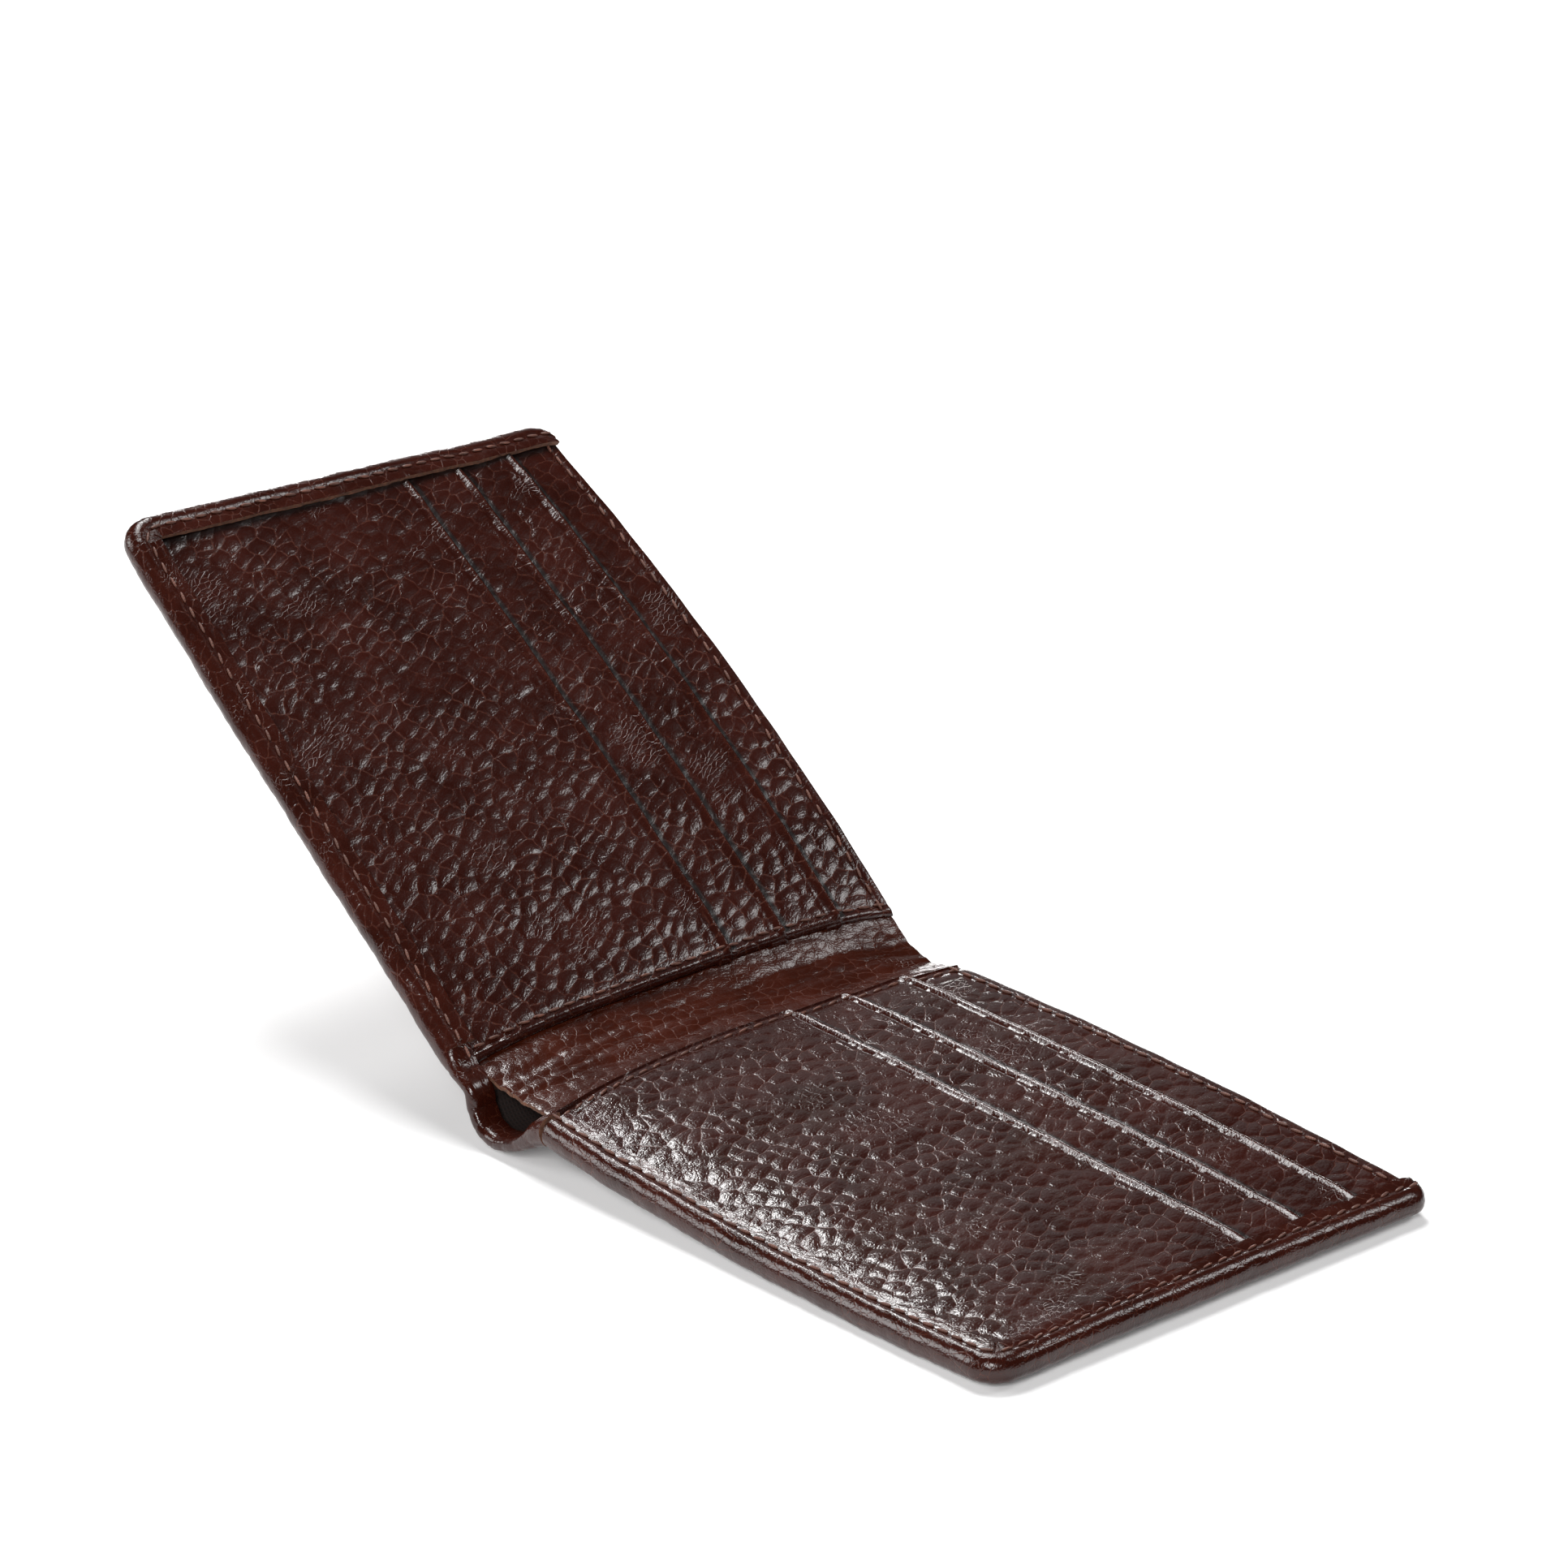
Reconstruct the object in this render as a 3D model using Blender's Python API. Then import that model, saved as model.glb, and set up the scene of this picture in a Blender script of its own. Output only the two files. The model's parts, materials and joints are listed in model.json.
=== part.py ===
"""Bifold wallet, standing half open on the rounded pouch of its spine.

Local frame of each half: u runs from the hinge line to the outer end, v from the bottom edge to the
top edge (the mouth of the bill compartment), and w from the outer face of the shell to the inside.
World frame: +Y runs along the spine from the bottom edge to the top edge, +Z is up, and the origin is
the middle of the underside of the whole object's box.
"""

import math

import bmesh
import bpy
from mathutils import Vector

MM = 0.001

# Overall sizes
WALLET_HEIGHT = 89.0 * MM
PANEL_LENGTH = 105.0 * MM
SPINE_WIDTH = 11.0 * MM
OPENING_FROM_FLAT = math.radians(35.5)

# Sheet thicknesses
SHELL_LEATHER = 0.8 * MM
BOARD = 0.3 * MM
LINING_FABRIC = 0.15 * MM
DIVIDER_LEATHER = 0.6 * MM
POCKET_LEATHER = 0.5 * MM

# Room between sheets
SHEET_GAP = 0.1 * MM
BILL_ROOM = 0.3 * MM

# Turned edges and corners of the shell
HEM_WIDTH = 4.5 * MM
EDGE_ROLL = 1.6 * MM
BOTTOM_CORNER_RADIUS = 5.0 * MM
TOP_CORNER_RADIUS = 2.5 * MM

# Card slots, measured from the bottom edge of the wallet
FRONT_POCKET_TOP = 56.0 * MM
SLOT_STEP = 11.1 * MM
STRIP_UNDERLAP = 3.2 * MM
SKIRT_DEPTH = 38.0 * MM
PANEL_TOP_INSET = 0.5 * MM

# Spine
PANEL_SETBACK = 3.0 * MM
CREASE_SETBACK = 0.8 * MM
LINING_SETBACK = 1.0 * MM
DIVIDER_REACH = 2.0 * MM
DIVIDER_SEAM_GAP = 0.9 * MM
DIVIDER_RAISE = 0.8 * MM
POUCH_DROP = 1.0 * MM

# Thread
THREAD_WIDTH = 0.5 * MM
THREAD_HEIGHT = 0.2 * MM
HEM_SEAM_INSET = 2.4 * MM
TOP_SEAM_INSET = 2.0 * MM
INNER_SEAM_INSET = 1.8 * MM

# Facets, and the tolerance within which two places count as one
CORNER_STEPS = 6
ROLL_STEPS = 3
POUCH_STEPS = 24
SHARP_ANGLE = math.radians(35.0)
NEAR = 0.01 * MM

# Share of a pocket sheet's height, from its lower edge, that lies flat on what is under it
RISE_START = 0.1

# Finishes: base colour and roughness
SHELL_FINISH = ((0.045, 0.012, 0.007), 0.38)
POCKET_FINISH = ((0.050, 0.014, 0.009), 0.40)
SPINE_FINISH = ((0.085, 0.020, 0.008), 0.42)
FABRIC_FINISH = ((0.020, 0.012, 0.009), 0.85)
BOARD_FINISH = ((0.150, 0.110, 0.070), 0.90)
THREAD_FINISH = ((0.200, 0.070, 0.050), 0.60)


# Levels of the sheets above the outer face of the shell
BOARD_LOW = SHELL_LEATHER + SHEET_GAP
BILL_LINING_LOW = BOARD_LOW + BOARD + SHEET_GAP
TURNED_EDGE = 2.0 * SHELL_LEATHER
DIVIDER_LOW = max(BILL_LINING_LOW + LINING_FABRIC + BILL_ROOM, TURNED_EDGE + SHEET_GAP)
BACKING_LOW = DIVIDER_LOW + DIVIDER_LEATHER + SHEET_GAP
SKIRT_3_LOW = BACKING_LOW + LINING_FABRIC + SHEET_GAP
SKIRT_2_LOW = SKIRT_3_LOW + LINING_FABRIC + SHEET_GAP
FRONT_POCKET_LOW = SKIRT_2_LOW + LINING_FABRIC + SHEET_GAP

# Extents inside the shell's walls
INSIDE_V = SHELL_LEATHER + SHEET_GAP
PANEL_TOP = WALLET_HEIGHT - PANEL_TOP_INSET
OUTER_END = PANEL_SETBACK + PANEL_LENGTH
INSIDE_U = OUTER_END - INSIDE_V
LINING_TOP = WALLET_HEIGHT - HEM_WIDTH - SHEET_GAP

# The pouch is an arc about a line below the chord that joins the two hinge lines
HINGE_LEVEL = 0.5 * SHELL_LEATHER
POUCH_RADIUS = math.hypot(0.5 * SPINE_WIDTH, POUCH_DROP)
POUCH_OVERHANG = math.asin(POUCH_DROP / POUCH_RADIUS)


class Sheet:
    """A flat or sloping leather sheet of a card panel: it rises from its lower edge to its upper edge."""

    def __init__(self, v_low, v_high, level, under=None):
        self.v_low = v_low
        self.v_high = v_high
        self.level = level
        self.rise = 0.0
        if under:
            self.rise = self.rise_over(under)

    def rise_over(self, under):
        """The rise that clears the sheet under this one's upper edge, where the two overlap."""
        length = self.v_high - self.v_low
        places = (max(under.v_low, self.v_low + RISE_START * length), self.v_high)
        wanted = [
            (under.top(v) + SHEET_GAP - self.level) * length / (v - self.v_low)
            for v in places
        ]
        return max(0.0, *wanted)

    def bottom(self, v):
        return self.level + self.rise * (v - self.v_low) / (self.v_high - self.v_low)

    def top(self, v):
        return self.bottom(v) + POCKET_LEATHER


def slot_top(number):
    """Height of the upper edge of a pocket above the wallet's bottom edge. Pocket 1 is the front one."""
    return FRONT_POCKET_TOP + (number - 1) * SLOT_STEP


TOP_STRIP = Sheet(slot_top(3) - STRIP_UNDERLAP, PANEL_TOP, SKIRT_3_LOW)
POCKET_3 = Sheet(slot_top(2) - STRIP_UNDERLAP, slot_top(3), SKIRT_3_LOW, TOP_STRIP)
POCKET_2 = Sheet(slot_top(1) - STRIP_UNDERLAP, slot_top(2), SKIRT_2_LOW, POCKET_3)
POCKET_1 = Sheet(INSIDE_V, slot_top(1), FRONT_POCKET_LOW, POCKET_2)
PANEL_SHEETS = (POCKET_1, POCKET_2, POCKET_3, TOP_STRIP)

LIP_LOW = max(sheet.top(sheet.v_high) for sheet in PANEL_SHEETS) + SHEET_GAP
LIP_TOP = LIP_LOW + SHELL_LEATHER


def rest_angles():
    """Tilt of the lying half and height of its hinge line, for a spine pouch and an outer edge on z = 0."""
    contact = OUTER_END - EDGE_ROLL
    tilt = 0.0
    height = 0.0
    for _ in range(30):
        slope = tilt + 0.5 * OPENING_FROM_FLAT
        below = POUCH_RADIUS + POUCH_DROP * math.cos(slope) - 0.5 * SPINE_WIDTH * math.sin(slope)
        height = HINGE_LEVEL + below
        tilt = math.asin((height - HINGE_LEVEL * math.cos(tilt)) / contact)
    return tilt, height


TILT, HINGE_HEIGHT = rest_angles()


def clear_scene():
    for thing in list(bpy.data.objects):
        bpy.data.objects.remove(thing, do_unlink=True)


def finish(name, look):
    colour, roughness = look
    material = bpy.data.materials.new(name + "_finish")
    material.use_nodes = True
    shader = material.node_tree.nodes["Principled BSDF"]
    shader.inputs["Base Color"].default_value = (*colour, 1.0)
    shader.inputs["Roughness"].default_value = roughness
    shader.inputs["Metallic"].default_value = 0.0
    return material


def empty(name, location, turn, parent=None):
    """A hinge frame: its origin is on the hinge line, and it is turned about Y."""
    frame = bpy.data.objects.new(name, None)
    frame.location = location
    frame.rotation_euler = (0.0, turn, 0.0)
    frame.parent = parent
    bpy.context.scene.collection.objects.link(frame)
    return frame


def make_object(name, bm, parent, look, smooth=False):
    bmesh.ops.recalc_face_normals(bm, faces=bm.faces)
    mesh = bpy.data.meshes.new(name)
    bm.to_mesh(mesh)
    bm.free()
    if smooth:
        mesh.shade_smooth()
        mesh.set_sharp_from_angle(angle=SHARP_ANGLE)
    thing = bpy.data.objects.new(name, mesh)
    bpy.context.scene.collection.objects.link(thing)
    thing.parent = parent
    if look:
        mesh.materials.append(finish(name, look))
    return thing


def arc(centre, radius, start, end, steps):
    """Points of an arc in the plan of a half, both ends included. Angles are in degrees."""
    points = []
    for step in range(steps + 1):
        angle = math.radians(start + (end - start) * step / steps)
        points.append((centre[0] + radius * math.cos(angle), centre[1] + radius * math.sin(angle)))
    return points


def plan(u_low, u_high, v_low, v_high, bottom_radius=0.0, top_radius=0.0):
    """Outline of a sheet, square at the spine and with its two outer corners rounded."""
    points = [(u_low, v_low)]
    if bottom_radius > 0.0:
        centre = (u_high - bottom_radius, v_low + bottom_radius)
        points += arc(centre, bottom_radius, -90.0, 0.0, CORNER_STEPS)
    else:
        points.append((u_high, v_low))
    if top_radius > 0.0:
        centre = (u_high - top_radius, v_high - top_radius)
        points += arc(centre, top_radius, 0.0, 90.0, CORNER_STEPS)
    else:
        points.append((u_high, v_high))
    points.append((u_low, v_high))
    return points


def between(first, second):
    """A closed solid between two rings of as many places each."""
    bm = bmesh.new()
    rings = []
    for places in (first, second):
        ring = [bm.verts.new(place) for place in places]
        bm.faces.new(ring)
        rings.append(ring)
    count = len(first)
    for index in range(count):
        after = (index + 1) % count
        bm.faces.new((rings[0][index], rings[0][after], rings[1][after], rings[1][index]))
    return bm


def in_frame(side, u, v, w):
    """Place of a point of a half, or of the spine, in its hinge frame."""
    return (side * u, v - 0.5 * WALLET_HEIGHT, w - HINGE_LEVEL)


def prism(outline, side, low, high):
    """A closed solid over an outline. low and high are levels, or functions of v that give them."""
    rings = []
    for level in (low, high):
        ring = []
        for u, v in outline:
            ring.append(in_frame(side, u, v, level(v) if callable(level) else level))
        rings.append(ring)
    return between(*rings)


def slab(name, half, outline, low, high, look):
    """A sheet of one half."""
    full_name = half["name"] + "_" + name
    return make_object(full_name, prism(outline, half["side"], low, high), half["frame"], look)


def carve(thing, cutters):
    """Cuts each cutter out of a thing for good, and removes the cutter."""
    for cutter in cutters:
        cutter.hide_render = True
        cutter.display_type = "WIRE"
        cut = thing.modifiers.new("cut", "BOOLEAN")
        cut.operation = "DIFFERENCE"
        cut.solver = "EXACT"
        cut.object = cutter
    graph = bpy.context.evaluated_depsgraph_get()
    mesh = bpy.data.meshes.new_from_object(thing.evaluated_get(graph))
    thing.modifiers.clear()
    thing.data = mesh
    mesh.name = thing.name
    for cutter in cutters:
        bpy.data.objects.remove(cutter, do_unlink=True)
    mesh.shade_smooth()
    mesh.set_sharp_from_angle(angle=SHARP_ANGLE)


def shell(half):
    """Outer leather of one half, with its bottom edge and outer end turned in over the card panel."""
    side = half["side"]
    outline = plan(CREASE_SETBACK, OUTER_END, 0.0, WALLET_HEIGHT, BOTTOM_CORNER_RADIUS, TOP_CORNER_RADIUS)
    bm = prism(outline, side, 0.0, LIP_TOP)
    spine_x = side * CREASE_SETBACK
    top_y = 0.5 * WALLET_HEIGHT
    rolled = []
    for edge in bm.edges:
        ends = [vertex.co for vertex in edge.verts]
        level = abs(ends[0].z - ends[1].z) < NEAR
        at_spine = all(abs(end.x - spine_x) < NEAR for end in ends)
        at_mouth = all(abs(end.y - top_y) < NEAR for end in ends)
        if level and not at_spine and not at_mouth:
            rolled.append(edge)
    bmesh.ops.bevel(bm, geom=rolled, offset=EDGE_ROLL, segments=ROLL_STEPS, profile=0.5, affect="EDGES")
    body = make_object(half["name"] + "_shell", bm, half["frame"], SHELL_FINISH)

    past = 2.0 * MM
    inner_radius = BOTTOM_CORNER_RADIUS - SHELL_LEATHER
    inside_end = OUTER_END - SHELL_LEATHER
    lip_radius = max(BOTTOM_CORNER_RADIUS - HEM_WIDTH, 0.5 * MM)
    mouth_v = WALLET_HEIGHT + past
    spine_u = CREASE_SETBACK - past
    hem_v = WALLET_HEIGHT - HEM_WIDTH
    cuts = (
        (plan(spine_u, inside_end, SHELL_LEATHER, hem_v, inner_radius), SHELL_LEATHER, LIP_LOW),
        (plan(spine_u, inside_end, SHELL_LEATHER, mouth_v, inner_radius), TURNED_EDGE, LIP_LOW),
        (plan(spine_u, OUTER_END - HEM_WIDTH, HEM_WIDTH, mouth_v, lip_radius), TURNED_EDGE, LIP_TOP + past),
        (plan(spine_u, PANEL_SETBACK, -past, mouth_v), TURNED_EDGE, LIP_TOP + past),
    )
    cutters = []
    for number, (cut_outline, low, high) in enumerate(cuts):
        cutters.append(slab("cutter_%d" % number, half, cut_outline, low, high, None))
    carve(body, cutters)


def stepped_plan(u_low, u_step, v_high):
    """Outline of a sheet inside the shell that keeps off the hem where it reaches towards the spine."""
    v_step = HEM_WIDTH + SHEET_GAP
    outline = plan(u_step, INSIDE_U, INSIDE_V, v_high, BOTTOM_CORNER_RADIUS - INSIDE_V)
    return [(u_low, v_step), (u_step, v_step)] + outline[:-1] + [(u_low, v_high)]


def linings(half):
    """The stiffening board, and the fabric on the back wall of the bill compartment."""
    outline = stepped_plan(LINING_SETBACK, PANEL_SETBACK + SHEET_GAP, LINING_TOP)
    slab("board", half, outline, BOARD_LOW, BOARD_LOW + BOARD, BOARD_FINISH)
    slab("bill_lining", half, outline, BILL_LINING_LOW, BILL_LINING_LOW + LINING_FABRIC, FABRIC_FINISH)


def divider(half):
    """Front wall of the bill compartment. It reaches over the hinge line, set back from the bottom edge."""
    outline = stepped_plan(-DIVIDER_REACH, PANEL_SETBACK, PANEL_TOP)
    slab("divider", half, outline, DIVIDER_LOW, DIVIDER_LOW + DIVIDER_LEATHER, SPINE_FINISH)


def card_panel(half):
    """Fabric backing, two fabric skirts that hold the cards, and four overlapping leather faces."""
    radius = BOTTOM_CORNER_RADIUS - INSIDE_V
    backing = plan(PANEL_SETBACK, INSIDE_U, INSIDE_V, PANEL_TOP, radius)
    slab("panel_backing", half, backing, BACKING_LOW, BACKING_LOW + LINING_FABRIC, FABRIC_FINISH)
    skirts = (("pocket_3_skirt", POCKET_3, SKIRT_3_LOW), ("pocket_2_skirt", POCKET_2, SKIRT_2_LOW))
    for name, sheet, level in skirts:
        v_high = sheet.v_low - SHEET_GAP
        outline = plan(PANEL_SETBACK, INSIDE_U, v_high - SKIRT_DEPTH, v_high)
        slab(name, half, outline, level, level + LINING_FABRIC, FABRIC_FINISH)
    faces = (("pocket_1", POCKET_1), ("pocket_2", POCKET_2), ("pocket_3", POCKET_3), ("top_strip", TOP_STRIP))
    for name, sheet in faces:
        corner = radius if sheet is POCKET_1 else 0.0
        outline = plan(PANEL_SETBACK, INSIDE_U, sheet.v_low, sheet.v_high, corner)
        slab(name, half, outline, sheet.bottom, sheet.top, POCKET_FINISH)


def ribbon(inner, outer):
    """Outline of a thread run between two parallel paths."""
    return inner + outer[::-1]


def threads(half):
    """Sewing thread: round the turned edge, along the top of the card panel, and down its spine side."""
    half_width = 0.5 * THREAD_WIDTH
    paths = []
    for inset in (HEM_SEAM_INSET + half_width, HEM_SEAM_INSET - half_width):
        radius = BOTTOM_CORNER_RADIUS - inset
        path = plan(PANEL_SETBACK + INNER_SEAM_INSET, OUTER_END - inset, inset, PANEL_TOP, radius)
        paths.append(path[:-1])
    level = LIP_TOP + SHEET_GAP
    slab("hem_thread", half, ribbon(*paths), level, level + THREAD_HEIGHT, THREAD_FINISH)

    v_seam = PANEL_TOP - TOP_SEAM_INSET
    u_end = OUTER_END - HEM_WIDTH - SHEET_GAP
    outline = plan(PANEL_SETBACK + INNER_SEAM_INSET, u_end, v_seam - half_width, v_seam + half_width)
    level = TOP_STRIP.top(v_seam) + SHEET_GAP
    slab("top_thread", half, outline, level, level + THREAD_HEIGHT, THREAD_FINISH)
    inner_thread(half, HEM_WIDTH + THREAD_WIDTH, v_seam - THREAD_WIDTH)


def inner_thread(half, v_start, v_end):
    """Thread down the spine side of the card panel: it steps from sheet to sheet with the slots."""
    lower = []
    upper = []
    v_low = v_start
    rise = 0.0
    for sheet in PANEL_SHEETS:
        v_high = min(sheet.v_high + SHEET_GAP, v_end)
        lower.append((v_low, sheet.top(v_low) + SHEET_GAP))
        lower.append((v_high, sheet.top(v_high) + SHEET_GAP))
        upper.append((v_low + rise, sheet.top(v_low) + SHEET_GAP + THREAD_HEIGHT))
        rise = THREAD_HEIGHT if v_high < v_end else 0.0
        upper.append((v_high + rise, sheet.top(v_high) + SHEET_GAP + THREAD_HEIGHT))
        v_low = v_high
    profile = lower + upper[::-1]
    u_middle = PANEL_SETBACK + INNER_SEAM_INSET
    rings = []
    for u in (u_middle - 0.5 * THREAD_WIDTH, u_middle + 0.5 * THREAD_WIDTH):
        rings.append([in_frame(half["side"], u, v, w) for v, w in profile])
    bm = between(*rings)
    make_object(half["name"] + "_inner_thread", bm, half["frame"], THREAD_FINISH)


def turned_arc(name, frame, profile, margin, look):
    """A profile of (radius, y) points turned about the pouch's axis, from one hinge line to the other."""
    centre = Vector((-0.5 * SPINE_WIDTH, 0.0, -POUCH_DROP))
    start = -POUCH_OVERHANG + margin
    sweep = math.pi + 2.0 * (POUCH_OVERHANG - margin)
    bm = bmesh.new()
    ring = []
    for radius, y in profile:
        place = centre + Vector((radius * math.cos(start), y, -radius * math.sin(start)))
        ring.append(bm.verts.new(place))
    face = bm.faces.new(ring)
    bmesh.ops.spin(
        bm,
        geom=[face],
        cent=centre,
        axis=(0.0, 1.0, 0.0),
        angle=sweep,
        steps=POUCH_STEPS,
        use_duplicate=False,
    )
    return make_object(name, bm, frame, look, smooth=True)


def spine(frame):
    """The pouch of shell leather that closes round the fold, its lining, and the divider strip above it."""
    top_y = 0.5 * WALLET_HEIGHT
    outer = POUCH_RADIUS + 0.5 * SHELL_LEATHER
    inner = POUCH_RADIUS - 0.5 * SHELL_LEATHER
    turned = inner - SHELL_LEATHER
    hem_y = top_y - HEM_WIDTH
    profile = (
        (outer, -top_y),
        (outer, top_y),
        (turned, top_y),
        (turned, hem_y),
        (inner, hem_y),
        (inner, -hem_y),
        (turned, -hem_y),
        (turned, -top_y),
    )
    turned_arc("spine_shell", frame, profile, 0.0, SHELL_FINISH)

    lining_outer = inner - SHEET_GAP
    lining_inner = lining_outer - LINING_FABRIC
    lining_y = hem_y - SHEET_GAP
    lining = (
        (lining_outer, -lining_y),
        (lining_outer, lining_y),
        (lining_inner, lining_y),
        (lining_inner, -lining_y),
    )
    turned_arc("spine_lining", frame, lining, POUCH_OVERHANG, FABRIC_FINISH)

    reach = DIVIDER_REACH + DIVIDER_SEAM_GAP
    low = HINGE_LEVEL + DIVIDER_RAISE
    outline = plan(reach, SPINE_WIDTH - reach, HEM_WIDTH + SHEET_GAP, PANEL_TOP)
    bm = prism(outline, -1.0, low, low + DIVIDER_LEATHER)
    make_object("spine_divider", bm, frame, SPINE_FINISH)


def half_wallet(name, side, frame):
    """Everything that is sewn into one half."""
    half = {"name": name, "side": side, "frame": frame}
    shell(half)
    linings(half)
    divider(half)
    card_panel(half)
    threads(half)


def centre_on_floor(root):
    """Moves the wallet so that the origin is the middle of the underside of its box."""
    bpy.context.view_layer.update()
    corners = []
    for thing in bpy.context.scene.objects:
        if thing.type == "MESH":
            corners += [thing.matrix_world @ vertex.co for vertex in thing.data.vertices]
    lows = [min(corner[axis] for corner in corners) for axis in range(3)]
    highs = [max(corner[axis] for corner in corners) for axis in range(3)]
    middle = Vector(((lows[0] + highs[0]) / 2.0, (lows[1] + highs[1]) / 2.0, lows[2]))
    root.location -= middle


def build():
    clear_scene()
    fold = 0.5 * OPENING_FROM_FLAT
    root = empty("floor_half_frame", (0.0, 0.0, HINGE_HEIGHT), TILT)
    spine_frame = empty("spine_fold_axis", (0.0, 0.0, 0.0), fold, root)
    raised_frame = empty("raised_fold_axis", (-SPINE_WIDTH, 0.0, 0.0), fold, spine_frame)
    half_wallet("floor", 1.0, root)
    spine(spine_frame)
    half_wallet("raised", -1.0, raised_frame)
    centre_on_floor(root)


build()
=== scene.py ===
"""Looks of a bifold wallet: leather covers, card slots, spine pouch, linings and seams round the CAD frame.

Each half is made flat, in its own plan: u runs from the hinge line to the outer end, v from the bottom
edge to the top edge and w from the outer face to the inside. settle() then lays it into its real, soft
shape. Everything is in metres.
"""

import json
import math

import bmesh
import bpy
import numpy as np
from bpy.props import FloatProperty, FloatVectorProperty, IntProperty, PointerProperty
from mathutils import Matrix, Vector


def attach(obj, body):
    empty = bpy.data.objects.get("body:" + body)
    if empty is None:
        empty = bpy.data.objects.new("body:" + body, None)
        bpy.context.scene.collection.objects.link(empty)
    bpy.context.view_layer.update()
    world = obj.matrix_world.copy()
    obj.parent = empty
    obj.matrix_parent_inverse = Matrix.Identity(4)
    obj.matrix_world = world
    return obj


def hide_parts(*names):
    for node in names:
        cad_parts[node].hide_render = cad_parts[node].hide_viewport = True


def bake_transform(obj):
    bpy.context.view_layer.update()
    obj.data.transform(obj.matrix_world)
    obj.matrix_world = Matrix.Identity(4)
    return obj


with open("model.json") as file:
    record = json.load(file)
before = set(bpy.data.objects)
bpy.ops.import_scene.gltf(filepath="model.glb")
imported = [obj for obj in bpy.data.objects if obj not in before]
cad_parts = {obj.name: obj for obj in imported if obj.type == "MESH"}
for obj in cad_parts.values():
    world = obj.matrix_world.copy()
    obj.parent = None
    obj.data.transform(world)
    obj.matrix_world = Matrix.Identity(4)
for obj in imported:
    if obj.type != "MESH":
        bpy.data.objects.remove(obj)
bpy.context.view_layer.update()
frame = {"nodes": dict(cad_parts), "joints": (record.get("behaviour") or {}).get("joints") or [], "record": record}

bl_info = {
    "name": "Bifold wallet",
    "version": (1, 0, 0),
    "blender": (4, 5, 0),
    "location": "3D View > Sidebar > Wallet",
    "description": "Leather, linings, seams and stage of a bifold wallet",
    "category": "Object",
}

MM = 0.001
RECORD = frame["record"]
# The wallet's height along its spine. The frame lies level with its middle.
HEIGHT = 2.0 * max(abs(vertex.co.y) for vertex in frame["nodes"]["floor_shell"].data.vertices)
# Names of the attributes of a sheet's points: place on the flat hide, share of relief, and wear with painted
# shade.
PLAN = "plan"
RELIEF = "relief"
WEAR_AND_SHADE = "wear_and_shade"


# ---------------------------------------------------------------------------------------------
# The two halves
# ---------------------------------------------------------------------------------------------

def unit(vector):
    vector = np.array(vector, float)
    return vector / np.linalg.norm(vector)


class Half:
    """One half of the wallet: its hinge line, its directions, and how its leather has settled."""

    def __init__(self, name, joint, mount, side, shape):
        found = next(j for j in frame["joints"] if j["name"] == joint)
        face = next(m for m in RECORD["mounts"] if m["name"] == mount)
        self.name = name
        self.body = name + "_half"
        self.hinge = np.array(found["pos_m"], float)
        self.inward = -unit(face["axis"])
        self.along = side * np.array([self.inward[2], 0.0, -self.inward[0]])
        self.shape = shape
        self.zero = 0.0
        low, high = self.span("shell")
        self.zero = low[2]
        self.end = high[0]
        self.thick = high[2] - low[2]

    def span(self, node):
        """Lowest and highest u, v and w of one of this half's CAD nodes."""
        mesh = frame["nodes"][self.name + "_" + node].data
        places = np.array([vertex.co for vertex in mesh.vertices]) - self.hinge
        u = places @ self.along
        v = places[:, 1] + 0.5 * HEIGHT
        w = places @ self.inward - self.zero
        plan = np.stack([u, v, w], 1)
        return plan.min(0), plan.max(0)

    def settle(self, points):
        """World places of plan points, once the half has arched, twisted and rippled as leather does."""
        u, v, w = np.asarray(points, float).T
        s = np.clip(u / self.end, 0.0, 1.05)
        t = np.clip(v / HEIGHT, -0.05, 1.05)
        arch = 4.0 * s * (1.0 - s)
        shape = self.shape
        lift = arch * (shape["top_arch"] * t**2 - shape["bottom_dip"] * (1.0 - t) ** 2)
        lift += shape["twist"] * s * t + shape["corner_lift"] * (1.0 - t) ** 2 * (1.0 - s) ** 4
        lift += shape["ripple"] * ripple(u, v, shape["phase"])
        edge = shape["ripple"] * ripple(v, u, shape["phase"] + 2.0)
        u = u - shape["end_bow"] * s**3 * (1.0 - 0.25 * t**6) + 0.8 * edge * s
        v = v + 0.8 * shape["ripple"] * ripple(u, 0.4 * v, shape["phase"] + 4.0) * (1.0 - t)
        world = self.hinge + np.outer(u, self.along) + np.outer(w + lift + self.zero, self.inward)
        world[:, 1] += v - 0.5 * HEIGHT
        return world


# Length along and across of each wave, in millimetres, and its share of the height.
WAVES = ((31.0, 44.0, 0.40), (17.0, -92.0, 0.35), (9.5, 124.0, 0.25))


def ripple(a, b, phase):
    """Long shallow waves of a leather edge, between about -1 and 1. a runs along the waves."""
    total = np.zeros_like(a)
    for number, (along, across, share) in enumerate(WAVES):
        turn = phase * (number + 1.3)
        total += share * np.sin(2.0 * math.pi * (a / (along * MM) + b / (across * MM)) + turn)
    return total


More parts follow.
